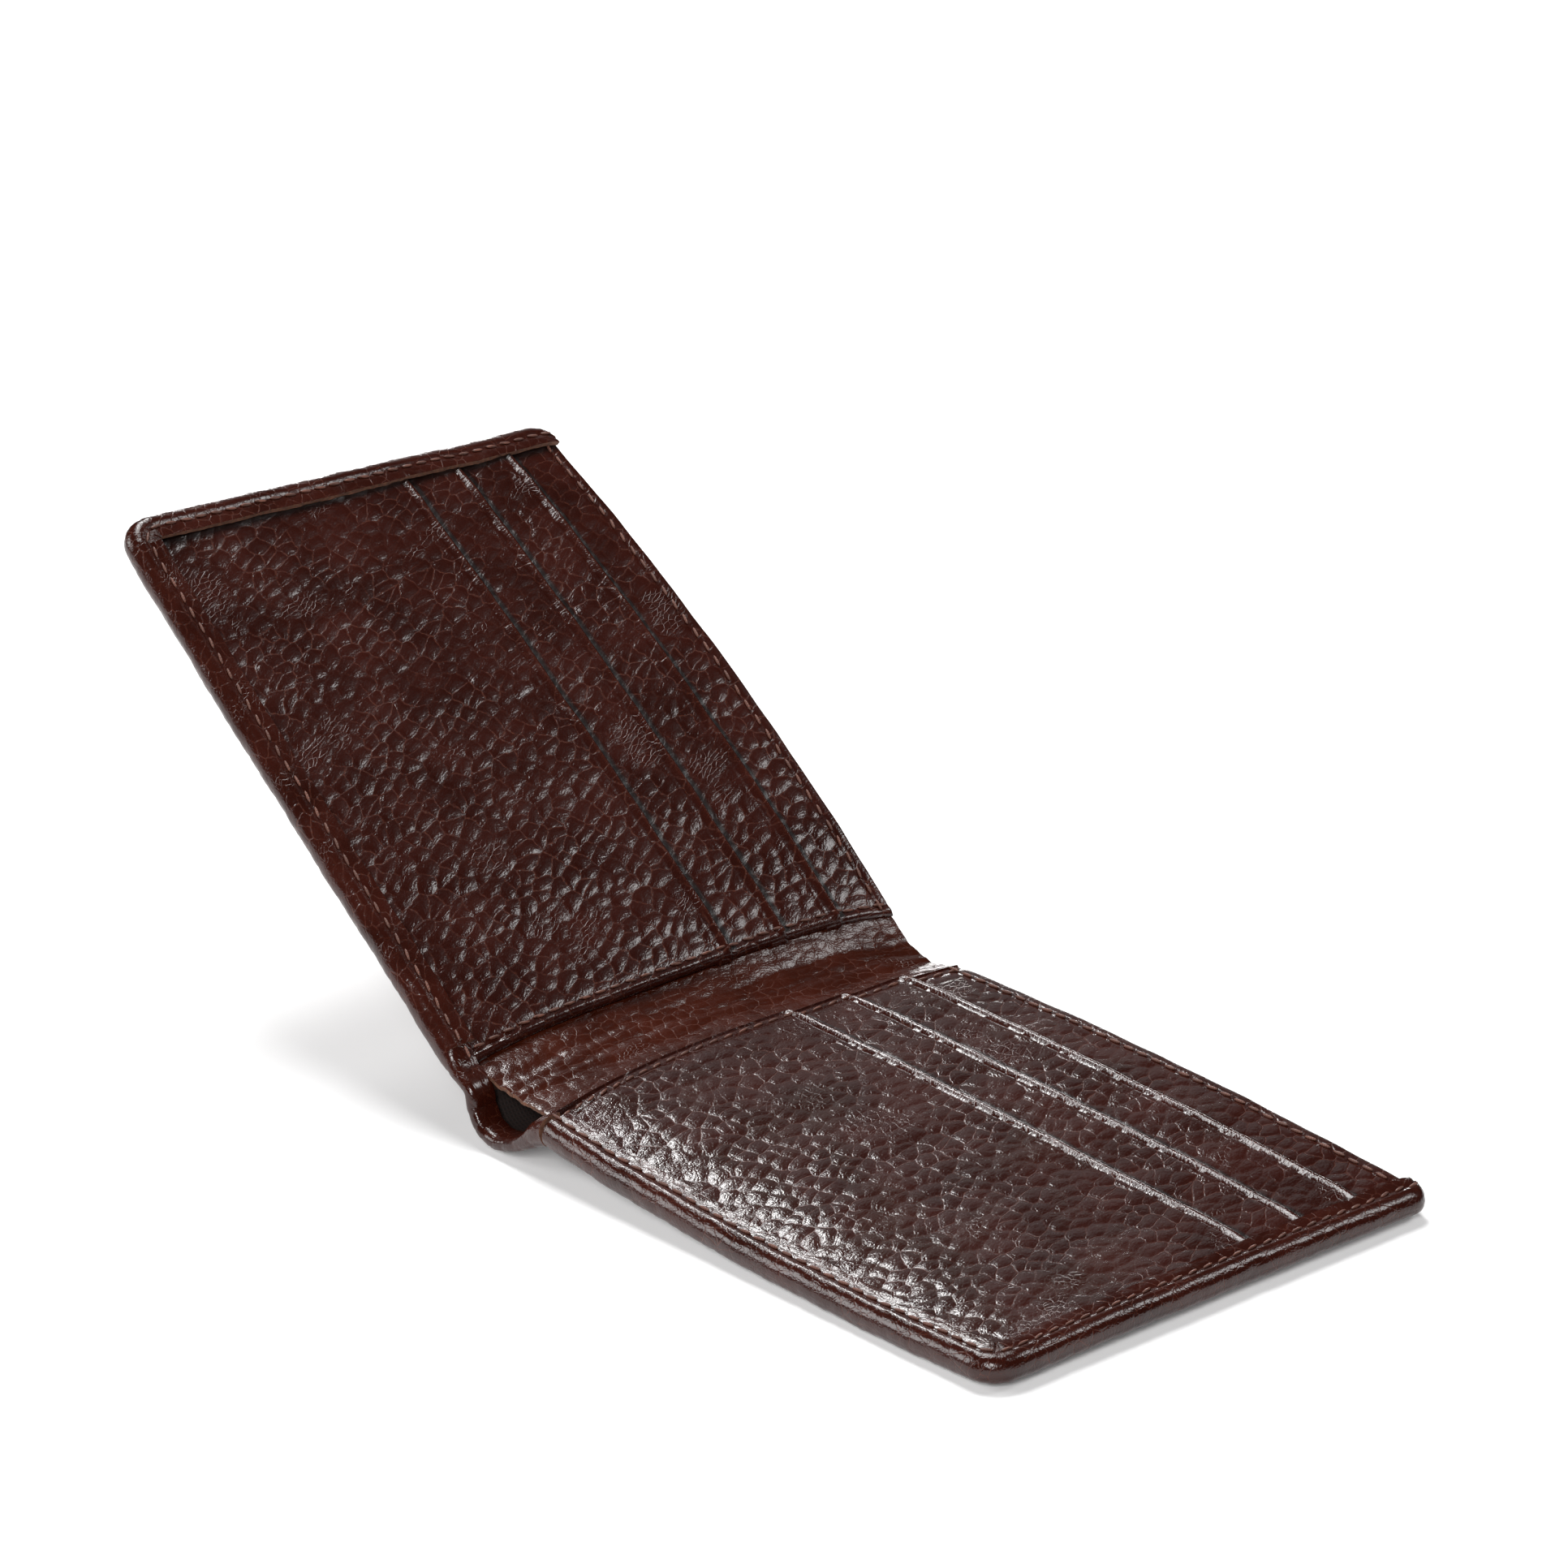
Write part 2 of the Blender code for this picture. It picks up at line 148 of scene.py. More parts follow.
HALVES = {
    "floor": Half("floor", "spine_fold", "rest_face", 1.0, {
        "top_arch": 1.55 * MM,
        "bottom_dip": 2.2 * MM,
        "twist": 0.0,
        "corner_lift": 0.9 * MM,
        "end_bow": 1.5 * MM,
        "ripple": 0.11 * MM,
        "phase": 0.6,
    }),
    "raised": Half("raised", "raised_fold", "raised_back", -1.0, {
        "top_arch": 3.4 * MM,
        "bottom_dip": 1.5 * MM,
        "twist": -5.9 * MM,
        "corner_lift": -2.3 * MM,
        "end_bow": 1.5 * MM,
        "ripple": 0.15 * MM,
        "phase": 2.9,
    }),
}
FLOOR = HALVES["floor"]
RAISED = HALVES["raised"]


# ---------------------------------------------------------------------------------------------
# What a user would change
# ---------------------------------------------------------------------------------------------

def length(name, description, millimetres):
    return FloatProperty(name=name, description=description, default=millimetres * MM, unit="LENGTH")


def power(name, description, watts):
    return FloatProperty(name=name, description=description, default=watts)


def bearing(name, description, degrees):
    return FloatProperty(name=name, description=description, default=math.radians(degrees), subtype="ANGLE")


def colour(name, description, value):
    return FloatVectorProperty(
        name=name, description=description, default=value, size=3, min=0.0, max=1.0, subtype="COLOR"
    )


class WalletSizes(bpy.types.PropertyGroup):
    """Thicknesses and widths of the wallet's leather, fabric and thread."""

    cover_leather: length("Cover leather", "Thickness of the outer leather", 0.8)
    slot_leather: length("Slot leather", "Thickness of a card slot's leather before it is turned", 0.38)
    strip_leather: length("Strip leather", "Thickness of the strip over the spine", 0.6)
    fabric: length("Lining fabric", "Thickness of the linings", 0.15)
    hem_width: length("Hem width", "How far the cover is turned over the card panel", 5.2)
    corner_radius: length("Corner radius", "Radius of the outer bottom corners", 5.6)
    mouth_hem: length("Mouth hem", "Width of the turned edge along the bill compartment's mouth", 4.5)
    hem_seam: length("Hem seam", "Distance of the hem's seam from the rolled edge", 3.0)
    top_seam: length("Top seam", "Distance of the seam from the top edge of the card panel", 1.9)
    inner_seam: length("Inner seam", "Distance of the seam from the panel's edge at the spine", 1.9)
    stitch: length("Stitch", "Length of a stitch", 2.2)
    stitch_gap: length("Stitch gap", "Distance between two stitches", 0.8)
    thread: length("Thread", "Thickness of the thread", 0.50)
    cover_grid: length("Cover grid", "Distance between the points of the cover", 0.75)
    panel_grid: length("Panel grid", "Distance between the points of the card slots", 0.5)
    pleats: IntProperty(name="Pleats", description="Gathers in the hem at an outer bottom corner", default=8)


class WalletFinish(bpy.types.PropertyGroup):
    """Colours of the wallet's leather, fabric and thread."""

    cover: colour("Cover leather", "Outer leather", (0.026, 0.0044, 0.0022))
    slots: colour("Slot leather", "Leather of the card slots", (0.0235, 0.0038, 0.0020))
    strip: colour("Strip leather", "Leather over the spine", (0.036, 0.0056, 0.0018))
    crease: colour("Crease", "Leather where a crease has lightened it", (0.095, 0.024, 0.011))
    raw_edge: colour("Raw edge", "Cut edge of the leather", (0.150, 0.060, 0.032))
    flesh: colour("Flesh side", "Back of the leather", (0.060, 0.024, 0.013))
    fabric: colour("Fabric", "Lining fabric", (0.020, 0.010, 0.008))
    board: colour("Board", "Stiffening board", (0.150, 0.110, 0.070))
    thread: colour("Thread", "Sewing thread", (0.190, 0.070, 0.045))
    paper: colour("Floor", "Plain floor", (0.93, 0.93, 0.93))


class WalletStage(bpy.types.PropertyGroup):
    """Camera and lights."""

    azimuth: bearing("Azimuth", "Direction of the camera", 48.33)
    elevation: bearing("Elevation", "Height of the camera", 21.57)
    roll: bearing("Roll", "Turn of the camera about its view", -0.19)
    distance: FloatProperty(
        name="Distance", description="Camera to the middle of the wallet", default=1.0, unit="LENGTH"
    )
    lens: FloatProperty(name="Lens", description="Focal length in millimetres", default=153.9)
    key: power("Key light", "Power of the large light above the wallet", 12.0)
    gloss: power("Gloss light", "Power of the small light behind it", 3.2)
    side: power("Side light", "Power of the light behind the raised half", 3.0)
    sheen: power("Sheen", "Power of the dim card that greys the leather", 0.20)
    low: power("Low light", "Power of the low strip behind it", 2.6)
    fill: power("Fill light", "Power of the light left of the camera", 6.5)
    right: power("Right light", "Power of the light on the right", 9.0)
    sky: FloatProperty(name="Surroundings", description="Strength of the light from all round", default=0.03)


# ---------------------------------------------------------------------------------------------
# Node building
# ---------------------------------------------------------------------------------------------

class Wiring:
    """Adds nodes to a tree and wires each input that is given a socket."""

    def __init__(self, tree):
        self.tree = tree

    def add(self, kind, inputs=None, **settings):
        node = self.tree.nodes.new(kind)
        for name, value in settings.items():
            setattr(node, name, value)
        for name, value in (inputs or {}).items():
            socket = node.inputs[name]
            if isinstance(value, bpy.types.NodeSocket):
                self.tree.links.new(value, socket)
            else:
                socket.default_value = value
        return node

    def math(self, operation, first, second=0.0, third=0.0):
        return self.add("ShaderNodeMath", {0: first, 1: second, 2: third}, operation=operation).outputs[0]

    def vector(self, operation, first, second=(0.0, 0.0, 0.0)):
        return self.add("ShaderNodeVectorMath", {0: first, 1: second}, operation=operation).outputs[0]

    def ramp(self, value, low, high, smooth=True):
        """Goes from 0 at low to 1 at high."""
        kind = "SMOOTHSTEP" if smooth else "LINEAR"
        inputs = {"Value": value, "From Min": low, "From Max": high}
        return self.add("ShaderNodeMapRange", inputs, interpolation_type=kind).outputs["Result"]

    def cells(self, place, feature="DISTANCE_TO_EDGE", **inputs):
        """Distance to the edge, or with F1 to the middle, of a cell in a flat pattern."""
        settings = {"feature": feature, "voronoi_dimensions": "2D"}
        return self.add("ShaderNodeTexVoronoi", {"Vector": place, **inputs}, **settings).outputs["Distance"]

    def turned(self, place, angle):
        """A place turned about Z."""
        inputs = {"Vector": place, "Angle": angle}
        return self.add("ShaderNodeVectorRotate", inputs, rotation_type="Z_AXIS").outputs[0]

    def mix(self, share, first, second):
        """Goes from the first colour to the second as share goes from 0 to 1."""
        node = self.add("ShaderNodeMix", data_type="RGBA")
        for socket, value in ((node.inputs[0], share), (node.inputs[6], first), (node.inputs[7], second)):
            if isinstance(value, bpy.types.NodeSocket):
                self.tree.links.new(value, socket)
            else:
                socket.default_value = value if socket is node.inputs[0] else rgba(value)
        return node.outputs[2]

    def bump(self, height, distance, strength=1.0):
        inputs = {"Strength": strength, "Distance": distance, "Height": height}
        return self.add("ShaderNodeBump", inputs).outputs["Normal"]


def rgba(value):
    return tuple(value) if len(value) == 4 else (*value, 1.0)


def new_group(name, kind, inputs, outputs):
    """A node group with named inputs and outputs, and its wiring."""
    tree = bpy.data.node_groups.new(name, kind)
    for label, socket_type, default in inputs:
        socket = tree.interface.new_socket(label, in_out="INPUT", socket_type=socket_type)
        if default is not None:
            socket.default_value = default
    for label, socket_type in outputs:
        tree.interface.new_socket(label, in_out="OUTPUT", socket_type=socket_type)
    wiring = Wiring(tree)
    return tree, wiring, tree.nodes.new("NodeGroupInput").outputs, tree.nodes.new("NodeGroupOutput").inputs


GRAIN_INPUTS = (
    ("Plan", "NodeSocketVector", None),
    ("Cell", "NodeSocketFloat", 0.003),
    ("Stretch", "NodeSocketFloat", 1.4),
    ("Angle", "NodeSocketFloat", 0.5),
    ("Seed", "NodeSocketFloat", 0.0),
)
GRAIN_OUTPUTS = (
    ("Pebble", "NodeSocketFloat"),
    ("Crease", "NodeSocketFloat"),
    ("Wrinkle", "NodeSocketFloat"),
    ("Tone", "NodeSocketFloat"),
)
MEAN_PEBBLE = 0.8


def grain_group(kind):
    """Tumbled grain: soft pebbles between fine creases. Geometry and colour share it, so that they agree."""
    name = "tumbled_grain" if kind == "ShaderNodeTree" else "tumbled_grain_shape"
    found = bpy.data.node_groups.get(name)
    if found:
        return found
    tree, wiring, given, out = new_group(name, kind, GRAIN_INPUTS, GRAIN_OUTPUTS)
    shift = wiring.add("ShaderNodeCombineXYZ", {0: given["Seed"], 1: given["Seed"], 2: 0.0}).outputs[0]
    turned = wiring.turned(given["Plan"], given["Angle"])
    across = wiring.math("DIVIDE", 1.0, given["Cell"])
    lengthwise = wiring.math("DIVIDE", across, given["Stretch"])
    scale = wiring.add("ShaderNodeCombineXYZ", {0: lengthwise, 1: across, 2: across}).outputs[0]
    cells = wiring.vector("ADD", wiring.vector("MULTIPLY", turned, scale), shift)
    warp = wiring.add(
        "ShaderNodeTexNoise", {"Vector": cells, "Scale": 0.7, "Detail": 2.0, "Roughness": 0.5}
    ).outputs["Color"]
    warp = wiring.vector("SUBTRACT", warp, (0.5, 0.5, 0.5))
    warped = wiring.vector("ADD", cells, wiring.vector("MULTIPLY", warp, (0.8, 0.8, 0.0)))

    edge = wiring.cells(warped, Scale=1.0, Randomness=0.85)
    patch = wiring.add(
        "ShaderNodeTexNoise", {"Vector": cells, "Scale": 0.23, "Detail": 1.0}
    ).outputs["Fac"]
    presence = wiring.ramp(patch, 0.38, 0.60)
    valley = wiring.ramp(edge, 0.0, 0.17)
    centre = wiring.cells(warped, "F1", Scale=1.0, Randomness=0.85)
    swell = wiring.math("SUBTRACT", 1.0, wiring.math("MULTIPLY", centre, centre))
    pebble = wiring.math("MULTIPLY_ADD", valley, 0.30, wiring.math("MULTIPLY", swell, 0.70))
    # Pebbles flatten out where the patch is low.
    raised = wiring.math("SUBTRACT", pebble, MEAN_PEBBLE)
    dome = wiring.math("MULTIPLY_ADD", raised, wiring.ramp(patch, 0.05, 0.42), MEAN_PEBBLE)
    line = wiring.math("SUBTRACT", 1.0, wiring.ramp(edge, 0.0, 0.085))

    small_scale = wiring.vector("MULTIPLY", warped, (2.6, 3.1, 1.0))
    small = wiring.cells(small_scale, Scale=1.0)
    wrinkle = wiring.ramp(small, 0.0, 0.35)
    small_line = wiring.math("SUBTRACT", 1.0, wiring.ramp(small, 0.0, 0.07))
    lines = wiring.math("MULTIPLY", line, wiring.math("MULTIPLY_ADD", presence, 0.75, 0.25))
    lines = wiring.math("MAXIMUM", lines, wiring.math("MULTIPLY", small_line, wiring.ramp(patch, 0.42, 0.30)))
    tone = wiring.add("ShaderNodeTexNoise", {"Vector": cells, "Scale": 0.12, "Detail": 4.0}).outputs["Fac"]
    for label, socket in (("Pebble", dome), ("Crease", lines), ("Wrinkle", wrinkle), ("Tone", tone)):
        tree.links.new(socket, out[label])
    return tree


# ---------------------------------------------------------------------------------------------
# Materials
# ---------------------------------------------------------------------------------------------

def blank_material(name):
    material = bpy.data.materials.new(name)
    material.use_nodes = True
    tree = material.node_tree
    shader = tree.nodes["Principled BSDF"]
    return material, Wiring(tree), shader


# Near-black colour of the painted shade in the slot mouths and under the hem's lip.
PAINTED_SHADE_COLOUR = (0.002, 0.0008, 0.0006)


def shades(base, low, high=1.0):
    """A darker and a lighter colour, from shares of one."""
    return tuple(low * part for part in base), tuple(min(1.0, high * part) for part in base)


def leather(name, base, crease, grain, roughness=0.18, fine=0.014, creases=0.55):
    """Glazed, tumbled leather. grain is a Grain, and the creases follow the shape that it gave the piece."""
    found = bpy.data.materials.get(name)
    if found:
        return found
    material, wiring, shader = blank_material(name)
    tree = material.node_tree
    plan = wiring.add("ShaderNodeAttribute", attribute_name=PLAN).outputs["Vector"]
    inputs = {"Plan": plan, "Cell": grain.cell, "Stretch": grain.stretch}
    inputs.update({"Angle": grain.angle, "Seed": grain.seed})
    tumbled = wiring.add("ShaderNodeGroup", node_tree=grain_group("ShaderNodeTree"))
    for label, value in inputs.items():
        if isinstance(value, bpy.types.NodeSocket):
            tree.links.new(value, tumbled.inputs[label])
        else:
            tumbled.inputs[label].default_value = value
    lines = tumbled.outputs["Crease"]

    pores = wiring.ramp(wiring.cells(plan, Scale=2300.0), 0.0, 0.30)
    grit = wiring.add("ShaderNodeTexNoise", {"Vector": plan, "Scale": 2600.0, "Detail": 2.0}).outputs["Fac"]
    patina = wiring.add("ShaderNodeTexNoise", {"Vector": plan, "Scale": 90.0, "Detail": 5.0}).outputs["Fac"]

    # Colour: patches, pale creases, pale rubbed lips, and painted shade in the slot mouths and under the hem's
    # lip.
    dark, light = shades(base, 0.72, 1.35)
    ground = wiring.mix(wiring.ramp(patina, 0.30, 0.72), dark, light)
    calm = wiring.math("MULTIPLY", wiring.ramp(tumbled.outputs["Tone"], 0.3, 0.7), 0.45)
    ground = wiring.mix(calm, ground, base)
    worn = wiring.math("MULTIPLY", creases, wiring.ramp(grit, 0.3, 0.7))
    ground = wiring.mix(wiring.math("MULTIPLY", lines, worn), ground, crease)
    wear_and_shade = wiring.add("ShaderNodeAttribute", attribute_name=WEAR_AND_SHADE).outputs["Fac"]
    rubbed = wiring.math("MULTIPLY", wiring.math("MAXIMUM", wear_and_shade, 0.0), wiring.ramp(grit, 0.25, 0.75))
    ground = wiring.mix(wiring.math("MULTIPLY", rubbed, 0.55), ground, crease)
    # Negative values of the point attribute are painted shade: they darken the colour to near-black in the slot
    # mouths and under the hem's lip.
    shade = wiring.math("MAXIMUM", wiring.math("MULTIPLY", wear_and_shade, -1.0), 0.0)
    ground = wiring.mix(wiring.math("MINIMUM", shade, 0.93), ground, PAINTED_SHADE_COLOUR)
    tree.links.new(ground, shader.inputs["Base Color"])

    rough = wiring.math("MULTIPLY_ADD", wiring.math("SUBTRACT", patina, 0.5), 0.12, roughness)
    rough = wiring.math("MULTIPLY_ADD", lines, 0.12, rough)
    rough = wiring.math("MULTIPLY_ADD", shade, 0.15, rough)
    tree.links.new(rough, shader.inputs["Roughness"])
    shader.inputs["Specular IOR Level"].default_value = 0.42
    shader.inputs["IOR"].default_value = 1.5

    height = wiring.math("MULTIPLY", pores, 0.45)
    height = wiring.math("MULTIPLY_ADD", grit, 0.55, height)
    height = wiring.math("MULTIPLY_ADD", tumbled.outputs["Wrinkle"], 0.80, height)
    height = wiring.math("MULTIPLY_ADD", lines, -1.3, height)
    tree.links.new(wiring.bump(height, fine * MM), shader.inputs["Normal"])
    return material


def fibrous(name, base, scale=1500.0):
    """Raw leather or board: a cut edge or the flesh side."""
    found = bpy.data.materials.get(name)
    if found:
        return found
    material, wiring, shader = blank_material(name)
    tree = material.node_tree
    place = wiring.add("ShaderNodeTexCoord").outputs["Object"]
    fibres = wiring.add("ShaderNodeTexNoise", {"Vector": place, "Scale": scale, "Detail": 4.0}).outputs["Fac"]
    dark, light = shades(base, 0.45)
    tree.links.new(wiring.mix(wiring.ramp(fibres, 0.3, 0.7), dark, light), shader.inputs["Base Color"])
    tree.links.new(wiring.math("MULTIPLY_ADD", fibres, 0.3, 0.6), shader.inputs["Roughness"])
    tree.links.new(wiring.bump(fibres, 0.05 * MM), shader.inputs["Normal"])
    return material


def woven(name, base):
    """Plain woven lining: warp and weft threads on the plan of the piece."""
    found = bpy.data.materials.get(name)
    if found:
        return found
    material, wiring, shader = blank_material(name)
    tree = material.node_tree
    plan = wiring.add("ShaderNodeAttribute", attribute_name=PLAN).outputs["Vector"]
    waves = []
    for turn in (0.0, math.pi / 2.0):
        inputs = {"Vector": wiring.turned(plan, turn), "Scale": 480.0, "Distortion": 0.4, "Detail": 1.0}
        waves.append(wiring.add("ShaderNodeTexWave", inputs).outputs["Fac"])
    weave = wiring.math("MAXIMUM", waves[0], waves[1])
    dark, light = shades(base, 0.4)
    tree.links.new(wiring.mix(weave, dark, light), shader.inputs["Base Color"])
    tree.links.new(wiring.math("MULTIPLY_ADD", weave, -0.2, 0.9), shader.inputs["Roughness"])
    tree.links.new(wiring.bump(weave, 0.06 * MM, 0.8), shader.inputs["Normal"])
    return material


def twisted_thread(name, base):
    """Waxed sewing thread with its twist."""
    found = bpy.data.materials.get(name)
    if found:
        return found
    material, wiring, shader = blank_material(name)
    tree = material.node_tree
    place = wiring.add("ShaderNodeTexCoord").outputs["Object"]
    strands = {"Vector": place, "Scale": 900.0, "Distortion": 1.5}
    twist = wiring.add("ShaderNodeTexWave", strands).outputs["Fac"]
    dirt = wiring.add("ShaderNodeTexNoise", {"Vector": place, "Scale": 120.0}).outputs["Fac"]
    dark, light = shades(base, 0.4)
    shade = wiring.math("MULTIPLY", wiring.ramp(twist, 0.1, 0.8), wiring.ramp(dirt, 0.25, 0.75))
    tree.links.new(wiring.mix(shade, dark, light), shader.inputs["Base Color"])
    tree.links.new(wiring.math("MULTIPLY_ADD", twist, 0.15, 0.45), shader.inputs["Roughness"])
    tree.links.new(wiring.bump(twist, 0.05 * MM, 0.7), shader.inputs["Normal"])
    return material


# ---------------------------------------------------------------------------------------------
# Grain and relief
# ---------------------------------------------------------------------------------------------

class Grain:
    """Size, direction and depth of the grain of one piece."""

    def __init__(self, cell, stretch, angle, seed, depth, wrinkle):
        self.cell = cell * MM
        self.stretch = stretch
        self.angle = math.radians(angle)
        self.seed = seed
        self.depth = depth * MM
        self.wrinkle = wrinkle * MM


GRAINS = {
    "cover": Grain(2.1, 1.2, 25.0, 3.1, 0.20, 0.02),
    "floor_slots": Grain(2.5, 1.45, 62.0, 11.7, 0.24, 0.02),
    "raised_slots": Grain(2.3, 1.5, 118.0, 29.3, 0.36, 0.02),
    "strip": Grain(1.9, 1.4, 80.0, 41.9, 0.22, 0.02),
}

RELIEF_INPUTS = (
    ("Geometry", "NodeSocketGeometry", None),
    ("Cell", "NodeSocketFloat", 0.003),
    ("Stretch", "NodeSocketFloat", 1.4),
    ("Angle", "NodeSocketFloat", 0.5),
    ("Seed", "NodeSocketFloat", 0.0),
    ("Pebble Depth", "NodeSocketFloat", 0.0002),
    ("Wrinkle Depth", "NodeSocketFloat", 0.00005),
    ("Finish", "NodeSocketMaterial", None),
)


def relief_tree():
    """Raises the grain's pebbles out of a sheet, along its normals, as far as its relief mask lets it."""
    found = bpy.data.node_groups.get("grain_relief")
    if found:
        return found
    tree, wiring, given, out = new_group(
        "grain_relief", "GeometryNodeTree", RELIEF_INPUTS, (("Geometry", "NodeSocketGeometry"),)
    )
    plan = wiring.add("GeometryNodeInputNamedAttribute", {"Name": PLAN}, data_type="FLOAT_VECTOR").outputs[0]
    mask = wiring.add("GeometryNodeInputNamedAttribute", {"Name": RELIEF}, data_type="FLOAT").outputs[0]
    grain = wiring.add("GeometryNodeGroup", node_tree=grain_group("GeometryNodeTree"))
    tree.links.new(plan, grain.inputs["Plan"])
    for label in ("Cell", "Stretch", "Angle", "Seed"):
        tree.links.new(given[label], grain.inputs[label])
    pebble = wiring.math("SUBTRACT", grain.outputs["Pebble"], MEAN_PEBBLE)
    pebble = wiring.math("MULTIPLY", pebble, given["Pebble Depth"])
    wrinkle = wiring.math("SUBTRACT", grain.outputs["Wrinkle"], 0.8)
    height = wiring.math("MULTIPLY_ADD", wrinkle, given["Wrinkle Depth"], pebble)
    height = wiring.math("MULTIPLY", height, mask)
    normal = wiring.add("GeometryNodeInputNormal").outputs[0]
    offset = wiring.add("ShaderNodeVectorMath", {0: normal, "Scale": height}, operation="SCALE").outputs[0]
    moved = wiring.add("GeometryNodeSetPosition", {"Geometry": given["Geometry"], "Offset": offset})
    whole = wiring.add("GeometryNodeRealizeInstances", {"Geometry": moved.outputs[0]})
    dressed = wiring.add(
        "GeometryNodeSetMaterial", {"Geometry": whole.outputs[0], "Material": given["Finish"]}
    )
    tree.links.new(dressed.outputs[0], out["Geometry"])
    return tree


def run_nodes(thing, tree, values):
    """Applies a node tree to a thing, with its named inputs set first, and keeps the result as plain mesh."""
    identifiers = {
        item.name: item.identifier
        for item in tree.interface.items_tree
        if item.item_type == "SOCKET" and item.in_out == "INPUT"
    }
    modifier = thing.modifiers.new("shape", "NODES")
    modifier.node_group = tree
    for label, value in values.items():
        modifier[identifiers[label]] = value
    graph = bpy.context.evaluated_depsgraph_get()
    mesh = bpy.data.meshes.new_from_object(thing.evaluated_get(graph), depsgraph=graph)
    name = thing.name
    collection = bpy.context.scene.collection
    bpy.data.objects.remove(thing, do_unlink=True)
    made = bpy.data.objects.new(name, mesh)
    mesh.name = name
    collection.objects.link(made)
    return made


def cover_look(finish):
    return leather("cover_leather", finish.cover, finish.crease, GRAINS["cover"])


def strip_look(finish):
    return leather("strip_leather", finish.strip, finish.crease, GRAINS["strip"], roughness=0.21)


def cut_edge(finish):
    return fibrous("cut_leather_edge", finish.raw_edge)


def flesh_side(finish):
    return fibrous("flesh_side", finish.flesh, 700.0)


def stamp(thing, grain, finish):
    """Gives a sheet its grain and its leather."""
    values = {
        "Cell": grain.cell,
        "Stretch": grain.stretch,
        "Angle": grain.angle,
        "Seed": grain.seed,
        "Pebble Depth": grain.depth,
        "Wrinkle Depth": grain.wrinkle,
        "Finish": finish,
    }
    return run_nodes(thing, relief_tree(), values)


# ---------------------------------------------------------------------------------------------
# Meshes
# ---------------------------------------------------------------------------------------------

class Sheet:
    """A sheet of grids of points. Each has a place, a place on the flat hide, a share of relief, and wear with
    painted shade.
    """

    def __init__(self):
        self.points = []
        self.plans = []
        self.masks = []
        self.wears_and_shades = []
        self.faces = []

    def grid(self, points, plans, masks, wears_and_shades=0.0):
        """Adds a grid: arrays whose first two axes are its rows and columns. Wear and painted shade run from -1,
        painted shade, to 1, pale wear.
        """
        rows, columns = points.shape[:2]
        first = sum(len(part) for part in self.points)
        self.points.append(points.reshape(-1, 3))
        self.plans.append(plans.reshape(-1, 3))
        self.masks.append(np.broadcast_to(masks, (rows, columns)).reshape(-1))
        self.wears_and_shades.append(np.broadcast_to(wears_and_shades, (rows, columns)).reshape(-1))
        numbers = first + np.arange(rows * columns).reshape(rows, columns)
        quads = np.stack([numbers[:-1, :-1], numbers[:-1, 1:], numbers[1:, 1:], numbers[1:, :-1]], -1)
        self.faces.append(quads.reshape(-1, 4))

    def build(self, name):
        """Makes the mesh object, with doubles merged."""
        points = np.concatenate(self.points)
        mesh = bpy.data.meshes.new(name)
        mesh.from_pydata(points.tolist(), [], np.concatenate(self.faces).tolist())
        plan = mesh.attributes.new(PLAN, "FLOAT_VECTOR", "POINT")
        plan.data.foreach_set("vector", np.concatenate(self.plans).astype(np.float32).ravel())
        mask = mesh.attributes.new(RELIEF, "FLOAT", "POINT")
        mask.data.foreach_set("value", np.concatenate(self.masks).astype(np.float32))
        wear_and_shade = mesh.attributes.new(WEAR_AND_SHADE, "FLOAT", "POINT")
        wear_and_shade.data.foreach_set("value", np.concatenate(self.wears_and_shades).astype(np.float32))
        bm = bmesh.new()
        bm.from_mesh(mesh)
        bmesh.ops.remove_doubles(bm, verts=bm.verts, dist=0.01 * MM)
        bmesh.ops.dissolve_degenerate(bm, dist=0.005 * MM, edges=bm.edges)
        bm.to_mesh(mesh)
        bm.free()
        thing = bpy.data.objects.new(name, mesh)
        bpy.context.scene.collection.objects.link(thing)
        return thing


def steps(start, end, spacing):
    """Evenly spaced values from start to end, no further apart than spacing."""
    count = max(1, int(math.ceil(abs(end - start) / spacing - 1e-6)))
    return np.linspace(start, end, count + 1)


def vertex_places(thing):
    places = np.empty(len(thing.data.vertices) * 3)
    thing.data.vertices.foreach_get("co", places)
    return places.reshape(-1, 3)


def lay(thing, half):
    """Moves a piece from the flat plan of a half to its settled place."""
    thing.data.vertices.foreach_set("co", half.settle(vertex_places(thing)).ravel())
    if half is RAISED:
        thing.data.flip_normals()
    thing.data.update()
    return thing


def thicken(thing, thickness, rim=None, back=None):
    """Gives a sheet its wall, behind its finished side. Cut edges and back may have finishes of their own."""
    mesh = thing.data
    for material in (rim, back):
        if material:
            mesh.materials.append(material)
    wall = thing.modifiers.new("wall", "SOLIDIFY")
    wall.thickness = thickness
    wall.offset = -1.0
    wall.use_even_offset = False
    wall.material_offset_rim = 1 if rim else 0
    wall.material_offset = (2 if rim else 1) if back else 0
    graph = bpy.context.evaluated_depsgraph_get()
    solid = bpy.data.meshes.new_from_object(thing.evaluated_get(graph), depsgraph=graph)
    thing.modifiers.clear()
    thing.data = solid
    solid.name = thing.name
    solid.shade_smooth()
    solid.set_sharp_from_angle(angle=math.radians(50.0))
    return thing


def band(distance, centre, width):
    """A smooth bump of height 1 about centre."""
    return np.exp(-(((distance - centre) / width) ** 2))


def share_of(value, low, high):
    """Goes evenly from 0 at low to 1 at high."""
    return min(1.0, max(0.0, (value - low) / (high - low)))


def eased(share):
    """A share that starts and stops softly."""
    return share * share * (3.0 - 2.0 * share)


